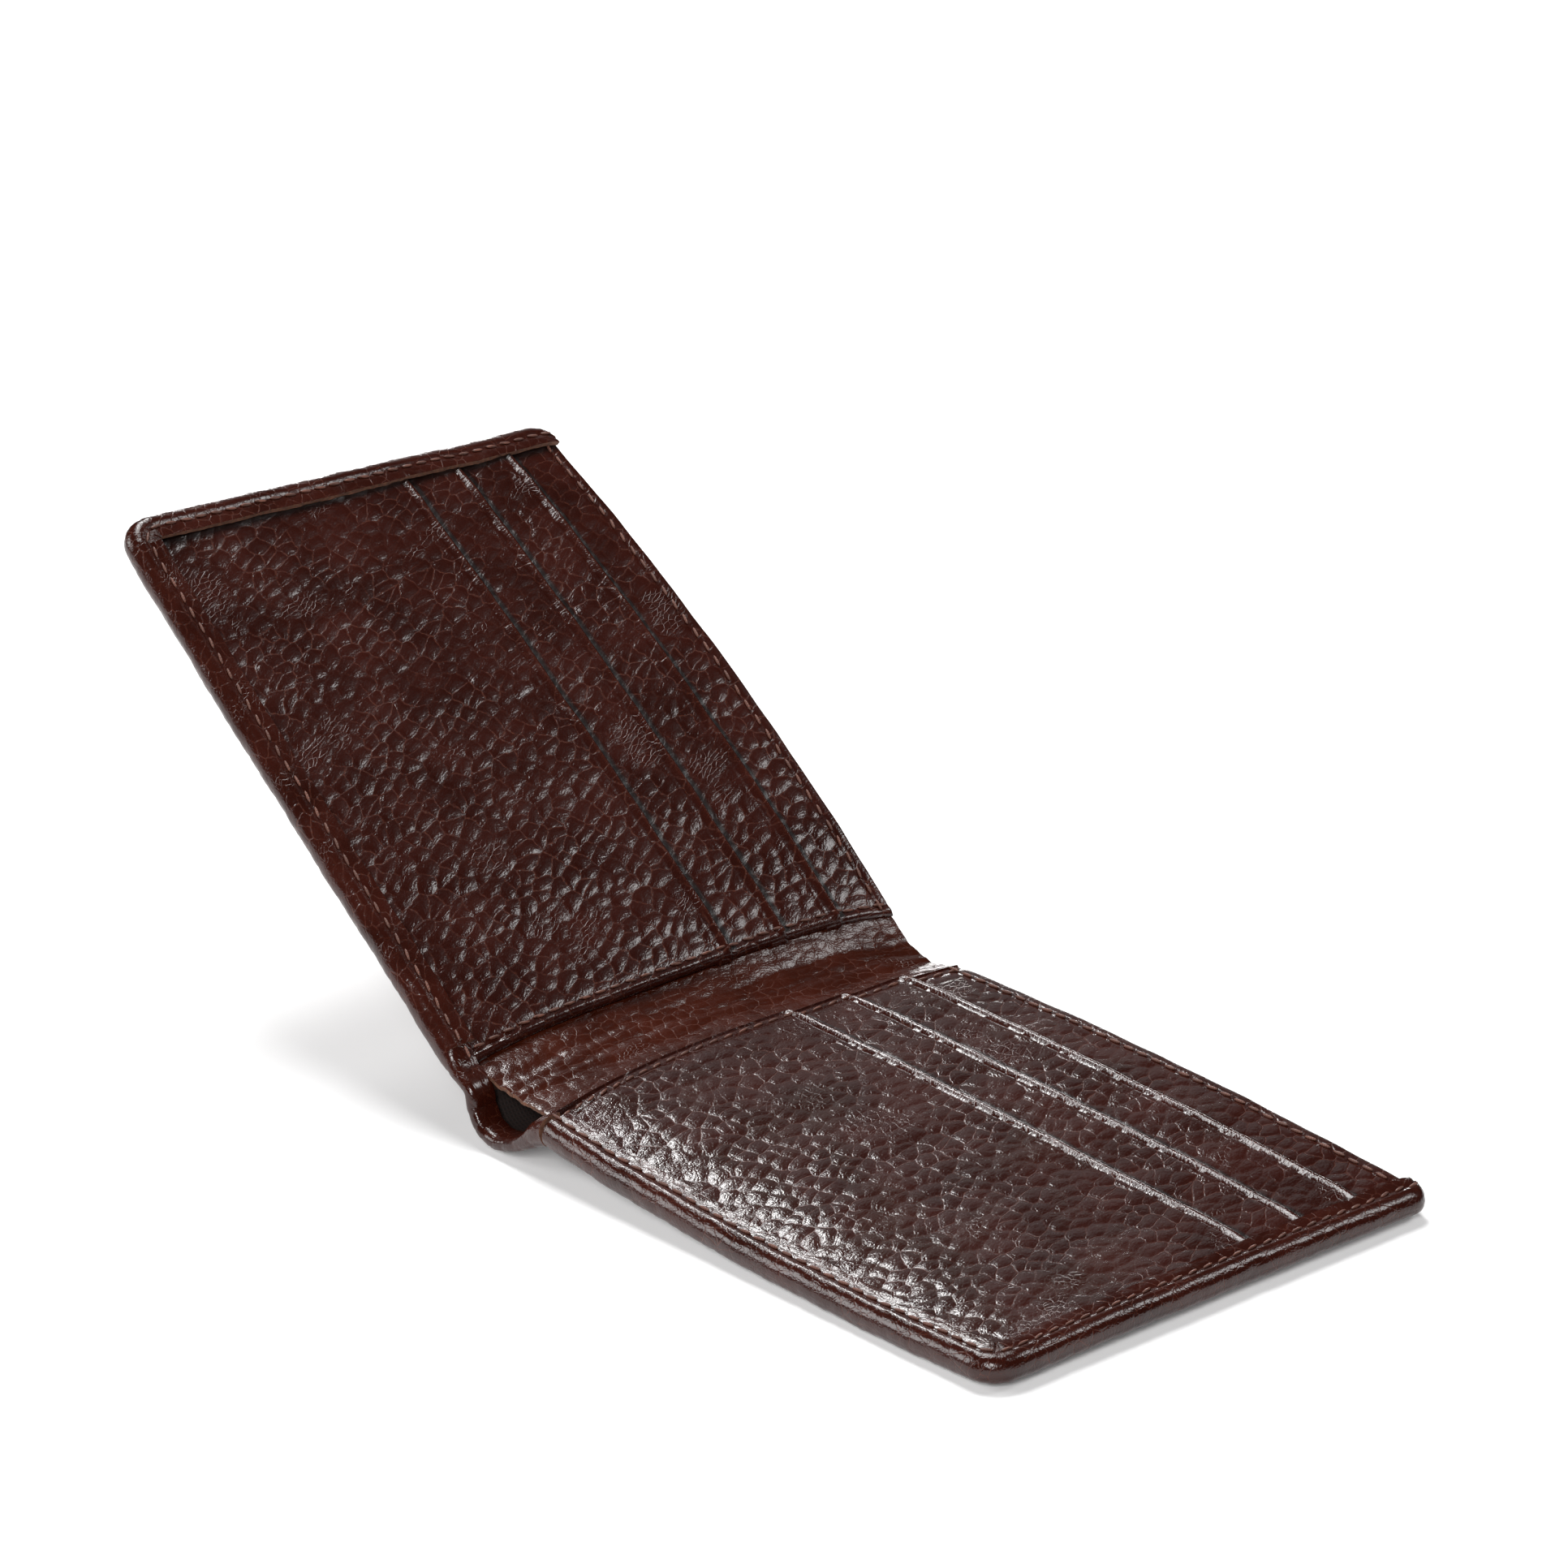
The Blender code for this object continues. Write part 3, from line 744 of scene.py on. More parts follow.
def turn_faces(thing, score):
    """Makes a sheet's faces agree, and turns them all over where the score, by area, is negative."""
    bm = bmesh.new()
    bm.from_mesh(thing.data)
    bmesh.ops.recalc_face_normals(bm, faces=bm.faces)
    if sum(score(face) * face.calc_area() for face in bm.faces) < 0.0:
        bmesh.ops.reverse_faces(bm, faces=bm.faces)
    bm.to_mesh(thing.data)
    bm.free()


def face_out(thing, inside):
    """Turns a rolled sheet's faces away from a point inside it."""
    middle = Vector(inside)
    turn_faces(thing, lambda face: (face.calc_center_median() - middle).dot(face.normal))


def face_up(thing):
    """Turns a flat sheet's faces to the inside of the wallet."""
    turn_faces(thing, lambda face: face.normal.z)


def flip_if(thing, downward):
    """Turns a sheet over where it looks down. Its faces agree already."""
    if downward < 0.0:
        thing.data.flip_normals()


PANEL_CORNER = 4.5 * MM


def rounded_panel(us, vs, level):
    """Points of a level panel whose outer bottom corner is rounded as the cover's is."""
    grid_u, grid_v = np.meshgrid(us, vs, indexing="ij")
    past_u = np.clip(grid_u - (us[-1] - PANEL_CORNER), 0.0, None)
    past_v = np.clip(vs[0] + PANEL_CORNER - grid_v, 0.0, None)
    far = np.hypot(past_u, past_v)
    keep = np.where(far > 1e-9, np.maximum(past_u, past_v) / np.maximum(far, 1e-9), 1.0)
    u = grid_u - past_u * (1.0 - keep)
    v = grid_v + past_v * (1.0 - keep)
    return np.stack([u, v, np.full_like(u, level)], -1)


# ---------------------------------------------------------------------------------------------
# Cover leather
# ---------------------------------------------------------------------------------------------

def rim_profile(hem, thick, corner):
    """Section of the rolled edge: inward distance, level and arc length from the outer face's side."""
    radius = 0.5 * thick
    distances = list(steps(corner, radius, 0.7 * MM)[:-1])
    levels = [0.0] * len(distances)
    for angle in np.linspace(0.0, math.pi, 13):
        distances.append(radius - radius * math.sin(angle))
        levels.append(radius - radius * math.cos(angle))
    for distance in steps(radius, hem, 0.45 * MM)[1:]:
        distances.append(distance)
        levels.append(thick)
    distances = np.array(distances)
    levels = np.array(levels)
    travel = np.concatenate([[0.0], np.cumsum(np.hypot(np.diff(distances), np.diff(levels)))])
    return distances, levels, travel


def hem_share(v):
    """Thickness of the outer end's hem at a height, as a share: fewer slots lie under it near the mouth."""
    thinner = eased(share_of(v, 50.0 * MM, 82.0 * MM))
    shut = share_of(v, HEIGHT - 5.0 * MM, HEIGHT)
    return 1.0 - 0.10 * thinner - 0.12 * shut * shut


def rim_thickness(half):
    """Thickness of the rolled edge, with what lies in it."""
    return half.thick - 0.25 * MM


# How far the top of the outer end is rounded.
END_ROUND = 3.2 * MM


def cover_sheet(half, sizes, start):
    """The outer leather of a half: its back, its two rolled edges and the hem over the card panel."""
    corner = sizes.corner_radius
    thick = rim_thickness(half)
    end = half.end
    spacing = sizes.cover_grid
    distances, levels, travel = rim_profile(sizes.hem_width, thick, corner)
    us = steps(start, end - corner, spacing)
    vs = steps(corner, HEIGHT, spacing)
    turns = np.radians(np.linspace(0.0, 90.0, 15))[1:-1]

    sheet = Sheet()
    grid_u, grid_v = np.meshgrid(us, vs, indexing="ij")
    back = np.stack([grid_u, grid_v, np.zeros_like(grid_u)], -1)
    mouth = 1.0 - 0.8 * band(HEIGHT - grid_v, sizes.mouth_hem, 0.6 * MM)
    back[..., 2] = 0.10 * MM * band(HEIGHT - grid_v, sizes.mouth_hem, 0.5 * MM)
    sheet.grid(back, back * (1, 1, 0), mouth)

    # Each column of the rim is a centre on the line where the rim meets the back, and an outward direction.
    columns = [(u, corner, 0.0, -1.0) for u in us]
    columns += [(end - corner, corner, math.sin(turn), -math.cos(turn)) for turn in turns]
    columns += [(end - corner, v, 1.0, 0.0) for v in vs]
    columns = np.array(columns)
    out = corner - distances
    hem_from = travel[np.argmax(levels >= thick - 1e-9)]
    on_hem = np.clip((travel - hem_from) / MM, 0.0, 1.0)
    on_top = levels > 0.6 * thick
    seam = 0.28 * MM * band(distances, sizes.hem_seam, 0.55 * MM) * on_top
    lip = 0.12 * MM * band(distances, sizes.hem_width, 0.7 * MM) * (levels > 0.9 * thick)
    rim = np.empty((len(columns), len(distances), 3))
    plan = np.zeros_like(rim)
    pleats = np.zeros(len(columns))
    for number, turn in enumerate(turns, len(us)):
        gather = abs(math.sin(sizes.pleats * turn)) ** 0.6 - 0.6
        pleats[number] = 0.30 * MM * gather * math.sin(2.0 * turn) ** 0.4
    for row, (u, v, out_u, out_v) in enumerate(columns):
        cut = max(0.0, v - (HEIGHT - END_ROUND)) if out_u == 1.0 else 0.0
        pulled = END_ROUND - math.sqrt(max(0.0, END_ROUND**2 - cut**2))
        reach = out - pulled * np.clip(out / corner, 0.0, 1.0)
        rim[row, :, 0] = u + out_u * reach
        rim[row, :, 1] = v + out_v * reach
        rim[row, :, 2] = (levels - seam + lip + pleats[row] * on_hem) * hem_share(v)
        plan[row, :, 0] = u + out_u * travel
        plan[row, :, 1] = v + out_v * travel
    smoother = 1.0 - 0.75 * band(distances, sizes.hem_seam, 0.8 * MM) * on_top
    sheet.grid(rim, plan, np.tile(smoother, (len(columns), 1)))
    return sheet


def cover_start(half):
    """Where a half's own cover begins, and the spine's pouch ends."""
    return (9.0 if half is FLOOR else 5.0) * MM


def cover(half, sizes, finish):
    """Outer leather of one half."""
    thing = cover_sheet(half, sizes, cover_start(half)).build(half.name + "_cover")
    face_out(thing, (0.5 * half.end, 0.5 * HEIGHT, 0.4 * half.thick))
    thing = stamp(thing, GRAINS["cover"], cover_look(finish))
    lay(thing, half)
    thicken(thing, sizes.cover_leather, rim=cut_edge(finish), back=flesh_side(finish))
    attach(thing, half.body)
    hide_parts(half.name + "_shell")
    return thing


def mouth_hem(half, sizes, finish):
    """The turned edge inside the cover along the mouth of the bill compartment."""
    leather_wall = sizes.cover_leather
    us = steps(cover_start(half), half.end - sizes.hem_width, 1.0 * MM)
    top = HEIGHT - 0.05 * MM
    profile = [(top - sizes.mouth_hem, 0.0), (top - 0.4 * MM, 0.0), (top, -0.4 * MM)]
    points = np.array([[(u, v, 2.0 * leather_wall + drop) for v, drop in profile] for u in us])
    sheet = Sheet()
    sheet.grid(points, points * (1, 1, 0), 0.5)
    thing = sheet.build(half.name + "_mouth_hem")
    face_up(thing)
    thing = stamp(thing, GRAINS["cover"], cover_look(finish))
    lay(thing, half)
    thicken(thing, leather_wall - 0.05 * MM, rim=cut_edge(finish))
    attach(thing, half.body)
    return thing


# ---------------------------------------------------------------------------------------------
# Card panels
# ---------------------------------------------------------------------------------------------

def inner_edge(half, v):
    """Distance of the card panel's edge at the spine from the hinge line: a shallow curve."""
    middle = 0.5 * HEIGHT
    if half is FLOOR:
        bend = 5.2 * MM if v < 43.0 * MM else 2.6 * MM
        return 1.0 * MM + bend * ((v - 43.0 * MM) / (40.0 * MM)) ** 2
    return 3.6 * MM - 2.3 * MM * ((v - middle) / middle) ** 4


def strip_level(half, v):
    """Level of the strip under the card panel's inner edge: fewer slots lie over it near the mouth."""
    if half is RAISED:
        return 2.4 * MM
    return (2.9 - 0.45 * eased(share_of(v, 48.0 * MM, 66.0 * MM))) * MM


SLOT_FACES = ("pocket_1", "pocket_2", "pocket_3", "top_strip")
SLOT_NAMES = {
    "pocket_1": "front_pocket",
    "pocket_2": "second_pocket",
    "pocket_3": "third_pocket",
    "top_strip": "top_band",
}
# How far each face climbs over the slots below it, in millimetres, and which face lies over its foot.
SLOT_RISES = {"pocket_1": 0.467, "pocket_2": 0.523, "pocket_3": 0.773, "top_strip": 0.0}
SLOT_COVERS = {"pocket_2": "pocket_1", "pocket_3": "pocket_2", "top_strip": "pocket_3"}
LIP_RADIUS = 0.40 * MM
LIP_RETURN = 3.0 * MM
LIP_REACH = 2.6 * MM
LIP_LIFT = 0.42 * MM
# How far past the covering face's edge the painted shadow of a slot mouth reaches.
SLOT_SHADOW = 1.1 * MM
FRONT_POCKET_FOOT = 1.6 * MM


def slot_levels(half, node):
    """Level of a slot face's finished side at its lower and its upper edge."""
    top = half.span(node)[1][2]
    return top - SLOT_RISES[node] * MM, top


def lift_of_lip(distance):
    """How far a slot's soft edge stands up from the slot behind it, at a distance from the edge."""
    return LIP_LIFT * eased(min(1.0, max(0.0, 1.0 - distance / LIP_REACH)))


def slot_rows(v_low, v_high, spacing):
    """Rows of a slot face, as height and drop: up the panel, round the turned edge and back under it."""
    top = v_high - LIP_RADIUS
    rows = [(v, 0.0) for v in steps(v_low, top, spacing)]
    for angle in np.linspace(0.0, math.pi, 8)[1:]:
        rows.append((top + LIP_RADIUS * math.sin(angle), -LIP_RADIUS * (1.0 - math.cos(angle))))
    return rows + [(v, -2.0 * LIP_RADIUS) for v in steps(top, v_high - LIP_RETURN, 1.0 * MM)[1:]]


def slot_dip(half, sizes, node, u, v, gap, below):
    """How far a slot face is pressed down: by its seam, its hem and its fall to the spine.

    gap is the distance from the edge at the spine, and below the distance from the upper edge.
    """
    dip = 0.16 * MM * band(gap, sizes.inner_seam, 0.45 * MM)
    if node != "top_strip":
        dip -= lift_of_lip(below) * min(1.0, (half.end - PANEL_END - u) / (8.0 * MM))
    if node == "pocket_1":
        sag = (0.65 if half is FLOOR else 0.40) * MM
        dip += sag * band(v, 5.0 * MM, 7.0 * MM)
    if half is FLOOR:
        dip += 0.35 * MM * band(gap, 0.0, 2.2 * MM)
    return dip


def lip_crease(sizes, node, below):
    """The pressed line along a slot's edge, or the sunk seam of the top band."""
    if node == "top_strip":
        return 0.18 * MM * band(below, sizes.top_seam, 0.45 * MM)
    return 0.30 * MM * band(below, 1.3 * MM, 0.28 * MM)


def slot_relief(half, node, u, v, gap, below):
    """Share of the grain's relief on a slot face: it fades at edges, hems and where hands polish it."""
    share = min(1.0, max(0.25, (gap - 1.5 * MM) / (3.0 * MM)))
    share = min(share, max(0.1, (below - 0.7 * MM) / (2.5 * MM)))
    if node == "pocket_1":
        share = min(share, max(0.3, (v - 3.0 * MM) / (3.0 * MM)))
    share = min(share, max(0.3, (half.end - PANEL_END - u - 1.5 * MM) / (3.0 * MM)))
    if half is FLOOR:
        share *= 1.0 - 0.65 * math.exp(-((u / (34.0 * MM)) ** 2) - (v / (20.0 * MM)) ** 2)
    return share


def slot_wear_and_shade(lip_line, u, lip, painted_slot_shadow):
    """Wear and painted shade at a point of a slot face: pale wear along the lip, painted shadow in the slot mouth
    and under the hem's lip.
    """
    wear_and_shade = lip if u < lip_line - 1.2 * MM else 0.0
    # Painted shadow under the hem's lip, near the outer end.
    painted_hem_shadow = 1.0 / (1.0 + math.exp(-(u - lip_line + 2.0 * MM) / (0.18 * MM)))
    dark = max(painted_slot_shadow, 0.85 * painted_hem_shadow)
    return wear_and_shade - dark if dark > 0.02 else wear_and_shade


# The panel ends this far inside the half's outer end, under the hem.
PANEL_END = 1.9 * MM


def slot_sheet(half, sizes, node):
    """One leather face of the card panel, with its edge at the spine rolled down and its slot edge turned."""
    low, high = half.span(node)
    v_low = FRONT_POCKET_FOOT if node == "pocket_1" else low[1]
    v_high = high[1]
    level_low, level_high = slot_levels(half, node)
    roll = (1.15 if half is RAISED else 0.75) * MM
    covering = SLOT_COVERS.get(node)
    shadow_end = half.span(covering)[1][1] + SLOT_SHADOW if covering else 0.0
    lip_line = half.end + 1.0 * MM - sizes.hem_width
    rows = slot_rows(v_low, v_high, sizes.panel_grid)
    # Columns run down round the rolled edge at the spine, then to the outer end, under the hem.
    outer = half.end - PANEL_END
    inside = steps(0.0, 1.0, sizes.panel_grid / (outer - 4.0 * MM))
    quarter = np.linspace(0.0, 0.5 * math.pi, 7)[1:][::-1]

    points = []
    plans = []
    masks = []
    wears_and_shades = []
    travel = 0.0
    last = rows[0]
    for v, drop in rows:
        travel += math.hypot(v - last[0], drop - last[1])
        last = (v, drop)
        share = (min(v, v_high) - v_low) / (v_high - v_low)
        level = level_low + (level_high - level_low) * share + drop
        start = inner_edge(half, v) + roll
        below = v_high - v
        # Painted shadow of the slot mouth: dark where the face over this one's foot covers it, fading just above
        # that face's edge.
        painted_slot_shadow = 0.0
        if covering:
            painted_slot_shadow = 1.0 if v < shadow_end else float(band(v, shadow_end, 0.30 * MM))
        on_face = drop == 0.0
        lip = 0.5 * float(band(below, 0.30 * MM, 0.45 * MM)) if on_face and node != "top_strip" else 0.0
        depth = min(roll, level - strip_level(half, v))
        line = [(start - roll * math.sin(a), v, level - depth * (1.0 - math.cos(a))) for a in quarter]
        plan_line = [(start - roll * a, v_low + travel, 0.0) for a in quarter]
        mask_line = [0.35] * len(quarter)
        wear_and_shade_line = [0.0] * len(quarter)
        for part in inside:
            u = start + (outer - start) * part
            gap = u - (start - roll)
            height = level - slot_dip(half, sizes, node, u, v, gap, below)
            if on_face:
                height -= lip_crease(sizes, node, below)
            line.append((u, v, height))
            plan_line.append((u, v_low + travel, 0.0))
            mask_line.append(slot_relief(half, node, u, v, gap, below))
            wear_and_shade_line.append(slot_wear_and_shade(lip_line, u, lip, painted_slot_shadow))
        points.append(line)
        plans.append(plan_line)
        masks.append(mask_line)
        wears_and_shades.append(wear_and_shade_line)
    sheet = Sheet()
    sheet.grid(np.array(points), np.array(plans), np.array(masks), np.array(wears_and_shades))
    return sheet


def slot_face(half, sizes, finish, node):
    """A card slot's leather face."""
    grain = GRAINS[half.name + "_slots"]
    thing = slot_sheet(half, sizes, node).build(half.name + "_" + SLOT_NAMES[node])
    # A face in the first third belongs to the upper layer, not to the turned edge.
    flip_if(thing, thing.data.polygons[len(thing.data.polygons) // 3].normal.z)
    look = leather(
        half.name + "_slot_leather",
        finish.slots,
        finish.crease,
        grain,
        roughness=0.17 if half is FLOOR else 0.19,
        creases=0.45 if half is FLOOR else 0.6,
    )
    thing = stamp(thing, grain, look)
    lay(thing, half)
    thicken(thing, sizes.slot_leather)
    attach(thing, half.body)
    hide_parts(half.name + "_" + node)
    return thing


# ---------------------------------------------------------------------------------------------
# Linings and board
# ---------------------------------------------------------------------------------------------

FLAT_SHEETS = {
    "board": ("stiffening_board", "board"),
    "bill_lining": ("bill_cloth", "lining_fabric"),
    "panel_backing": ("card_lining", "lining_fabric"),
    "pocket_3_skirt": ("third_pocket_skirt", "lining_fabric"),
    "pocket_2_skirt": ("second_pocket_skirt", "lining_fabric"),
}


def flat_sheet(half, sizes, finish, node):
    """A lining or the board: it takes its outline and level from its CAD node."""
    low, high = half.span(node)
    name, slot = FLAT_SHEETS[node]
    start = max(low[0], 5.5 * MM)
    end = high[0] - 0.8 * MM
    vs = steps(low[1] + 0.9 * MM, high[1] - 0.1 * MM, 2.0 * MM)
    points = rounded_panel(steps(start, end, 2.0 * MM), vs, high[2])
    sheet = Sheet()
    sheet.grid(points, points * (1, 1, 0), 0.0)
    thing = sheet.build(half.name + "_" + name)
    face_up(thing)
    if slot == "board":
        thing.data.materials.append(fibrous("board_paper", finish.board))
    else:
        thing.data.materials.append(woven("lining_weave", finish.fabric))
    lay(thing, half)
    thicken(thing, high[2] - low[2] if slot == "board" else sizes.fabric)
    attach(thing, half.body)
    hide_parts(half.name + "_" + node)
    return thing


# ---------------------------------------------------------------------------------------------
# Spine
# ---------------------------------------------------------------------------------------------

def smooth_path(points, count):
    """Evenly spaced points on a smooth curve through the given ones."""
    points = np.array(points, float)
    padded = np.vstack([2 * points[0] - points[1], points, 2 * points[-1] - points[-2]])
    dense = []
    for index in range(len(points) - 1):
        a, b, c, d = padded[index:index + 4]
        for t in np.linspace(0.0, 1.0, 24, endpoint=False):
            dense.append(0.5 * (
                2 * b + (c - a) * t + (2 * a - 5 * b + 4 * c - d) * t**2 + (3 * b - a - 3 * c + d) * t**3
            ))
    dense.append(points[-1])
    dense = np.array(dense)
    travel = np.concatenate([[0.0], np.cumsum(np.linalg.norm(np.diff(dense, axis=0), axis=1))])
    wanted = np.linspace(0.0, travel[-1], count)
    return np.stack([np.interp(wanted, travel, dense[:, axis]) for axis in range(dense.shape[1])], 1)


def half_point(half, u, v, w):
    """World x and z of one settled point of a half."""
    x, _, z = half.settle([(u, v, w)])[0]
    return (x, z)


# Columns of points across the pouch, the strip and the lining.
SPINE_COLUMNS = 81
STRIP_COLUMNS = 73
LINING_COLUMNS = 41
SPINE_MIDDLE = 0.5
# A point in the pouch, and three points listed with the spine's two sides, which nothing reads.
IN_POUCH = (-0.010, 0.0, 0.014)
SPINE_POINT = (-0.0105, 0.0, 0.0045)
FLOOR_POINT = (0.004, 0.0, 0.006)
RAISED_POINT = (-0.0215, 0.0, 0.014)
# Lowest stretch of the pouch, from the lying half to the raised one: x and z in millimetres.
POUCH_BOTTOM_END = ((-1.6, 2.7), (-5.6, 0.95), (-9.4, 0.30), (-13.0, 1.6), (-15.2, 4.6), (-16.4, 7.6))
POUCH_TOP_END = ((-2.6, 3.0), (-6.2, 1.0), (-9.8, 0.35), (-13.2, 1.6), (-15.6, 4.4), (-17.2, 7.4))


def pouch_paths(rows, count):
    """Outer line of the spine's leather at each height along the wallet, from one cover to the other."""
    paths = []
    for v in rows:
        share = v / HEIGHT
        middle = (1.0 - share) * np.array(POUCH_BOTTOM_END) + share * np.array(POUCH_TOP_END)
        middle = middle * MM
        ends = [half_point(FLOOR, cover_start(FLOOR) + extra, v, 0.0) for extra in (3.0 * MM, 0.0)]
        far = [half_point(RAISED, cover_start(RAISED) + extra, v, 0.0) for extra in (0.0, 3.0 * MM)]
        line = smooth_path([*ends, *middle, *far], 400)
        start = np.argmin(np.linalg.norm(line - ends[1], axis=1))
        stop = np.argmin(np.linalg.norm(line - far[0], axis=1))
        line = smooth_path(line[start:stop + 1:6].tolist() + [line[stop].tolist()], count)
        line[0] = ends[1]
        line[-1] = far[0]
        paths.append(line)
    return np.array(paths)


# The pouch's bottom edge is turned up to here.
POUCH_FOOT = 2.6 * MM


def pouch_sheet(sizes, first, last):
    """The spine's leather between two shares of its path, with its bottom edge turned inwards."""
    count = SPINE_COLUMNS
    rows_v = steps(POUCH_FOOT, HEIGHT, 0.8 * MM)
    paths = pouch_paths(rows_v, count)
    foot_path = pouch_paths([0.0], count)[0]
    shares = np.linspace(0.0, 1.0, count)
    travel = np.concatenate([[0.0], np.cumsum(np.linalg.norm(np.diff(paths[0], axis=0), axis=1))])
    points = []
    plans = []
    for number, share in enumerate(shares):
        if not first - 1e-9 <= share <= last + 1e-9:
            continue
        column = [(path[number][0], v - 0.5 * HEIGHT, path[number][1]) for path, v in zip(paths, rows_v)]
        column = column[::-1]
        plan_column = [(-travel[number], v, 0.0) for v in rows_v[::-1]]
        tangent = foot_path[min(count - 1, number + 1)] - foot_path[max(0, number - 1)]
        tangent = tangent / np.linalg.norm(tangent)
        inward = np.array([tangent[1], -tangent[0]])
        thick = pouch_edge(share)
        radius = 0.5 * thick
        profile = []
        for angle in np.linspace(0.0, math.pi, 11):
            profile.append((radius - radius * math.sin(angle), radius - radius * math.cos(angle)))
        profile += [(distance, thick) for distance in np.linspace(radius, sizes.mouth_hem, 7)[1:]]
        along = 0.0
        last_place = (POUCH_FOOT, 0.0)
        for v, level in profile:
            along += math.hypot(v - last_place[0], level - last_place[1])
            last_place = (v, level)
            rise = min(1.0, v / POUCH_FOOT)
            place = foot_path[number] * (1.0 - rise) + paths[0][number] * rise + inward * level
            column.append((place[0], v - 0.5 * HEIGHT, place[1]))
            plan_column.append((-travel[number], POUCH_FOOT - along, 0.0))
        points.append(column)
        plans.append(plan_column)
    sheet = Sheet()
    sheet.grid(np.array(points), np.array(plans), 1.0)
    return sheet


def pouch_edge(share):
    """Thickness of the spine's turned bottom edge: the covers' at its two ends, and thin between."""
    thin = 2.3 * MM
    if share < 0.22:
        return thin + (rim_thickness(FLOOR) - thin) * (0.5 + 0.5 * math.cos(math.pi * share / 0.22))
    if share > 0.84:
        return thin + (rim_thickness(RAISED) - thin) * (0.5 - 0.5 * math.cos(math.pi * (share - 0.84) / 0.16))
    return thin


def spine_cover(sizes, finish, name, first, last):
    """Half of the spine's leather pouch, between the middle of the spine and one half of the wallet."""
    thing = pouch_sheet(sizes, first, last).build(name)
    face_out(thing, IN_POUCH)
    thing = stamp(thing, GRAINS["cover"], cover_look(finish))
    thicken(thing, sizes.cover_leather, rim=cut_edge(finish), back=flesh_side(finish))
    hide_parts("spine_shell")
    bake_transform(thing)
    return thing


def strip_path(v):
    """Line of the divider strip across the spine at a height: it sags more towards the mouth."""
    share = v / HEIGHT
    floor_edge = inner_edge(FLOOR, v)
    raised_edge = inner_edge(RAISED, v)
    level_floor = strip_level(FLOOR, v)
    level_raised = strip_level(RAISED, v) - 0.1 * MM
    a = half_point(FLOOR, floor_edge + 7.0 * MM, v, 2.35 * MM)
    b = half_point(FLOOR, floor_edge + 2.5 * MM, v, level_floor - 0.25 * MM)
    c = np.array(half_point(FLOOR, floor_edge - 0.3 * MM, v, level_floor))
    d = np.array(half_point(RAISED, raised_edge + 0.2 * MM, v, level_raised))
    e = half_point(RAISED, raised_edge + 3.0 * MM, v, level_raised)
    f = half_point(RAISED, raised_edge + 7.0 * MM, v, 2.35 * MM)
    sag = (0.3 + 1.9 * share**1.5) * MM
    across = d - c
    low = np.array([-across[1], across[0]]) / np.linalg.norm(across)
    if low[1] > 0.0:
        low = -low
    middle = [c + across * part + low * sag * math.sin(math.pi * part) ** 0.8 for part in (0.25, 0.5, 0.75)]
    return [a, b, c, *middle, d, e, f]


# Long creases along the strip: share across it, width, depth in millimetres, and phase.
STRIP_CREASES = ((0.40, 0.030, 0.30, 0.0), (0.50, 0.022, 0.24, 1.7), (0.60, 0.030, 0.32, 3.1))


def strip_sheet(first, last):
    """The divider strip between two shares of its path."""
    count = STRIP_COLUMNS
    rows_v = steps(4.4 * MM, HEIGHT - 0.6 * MM, 0.6 * MM)
    shares = np.linspace(0.0, 1.0, count)
    keep = (shares > first - 1e-9) & (shares < last + 1e-9)
    paths = np.array([smooth_path(strip_path(v), count) for v in rows_v])
    travel = np.concatenate([[0.0], np.cumsum(np.linalg.norm(np.diff(paths[0], axis=0), axis=1))])
    points = np.empty((len(rows_v), count, 3))
    points[..., 0] = paths[..., 0]
    points[..., 1] = (rows_v - 0.5 * HEIGHT)[:, None]
    points[..., 2] = paths[..., 1]
    # Long shallow creases are sunk into the strip.
    folds = np.zeros((len(rows_v), count))
    for centre, width, depth, phase in STRIP_CREASES:
        wander = centre + 0.018 * np.sin(rows_v / (6.5 * MM) + phase)
        wander = wander + 0.01 * np.sin(rows_v / (2.3 * MM) + 2.0 * phase)
        folds -= depth * MM * band(shares[None, :], wander[:, None], width)
    points[..., 2] += folds
    plans = np.zeros_like(points)
    plans[..., 0] = travel
    plans[..., 1] = rows_v[:, None]
    sheet = Sheet()
    sheet.grid(points[:, keep], plans[:, keep], 1.0)
    return sheet


def strip_piece(sizes, finish, name, first, last, nodes):
    """Half of the leather strip over the spine, which goes on under a card panel as its divider."""
    thing = strip_sheet(first, last).build(name)
    normal_up(thing)
    thing = stamp(thing, GRAINS["strip"], strip_look(finish))
    thicken(thing, sizes.strip_leather, rim=cut_edge(finish), back=flesh_side(finish))
    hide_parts(*nodes)
    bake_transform(thing)
    return thing


def normal_up(thing):
    """Turns a sheet's faces upwards."""
    flip_if(thing, sum(polygon.normal.z * polygon.area for polygon in thing.data.polygons))


def divider(half, finish):
    """Front wall of the bill compartment, under the card panel."""
    low, high = half.span("divider")
    us = steps(9.0 * MM, high[0] - 1.0 * MM, 1.5 * MM)
    points = rounded_panel(us, steps(1.6 * MM, high[1], 1.5 * MM), high[2])
    sheet = Sheet()
    sheet.grid(points, points * (1, 1, 0), 0.3)
    thing = sheet.build(half.name + "_divider_wall")
    face_up(thing)
    thing = stamp(thing, GRAINS["strip"], strip_look(finish))
    lay(thing, half)
    thicken(thing, high[2] - low[2], rim=cut_edge(finish))
    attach(thing, half.body)
    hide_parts(half.name + "_divider")
    return thing


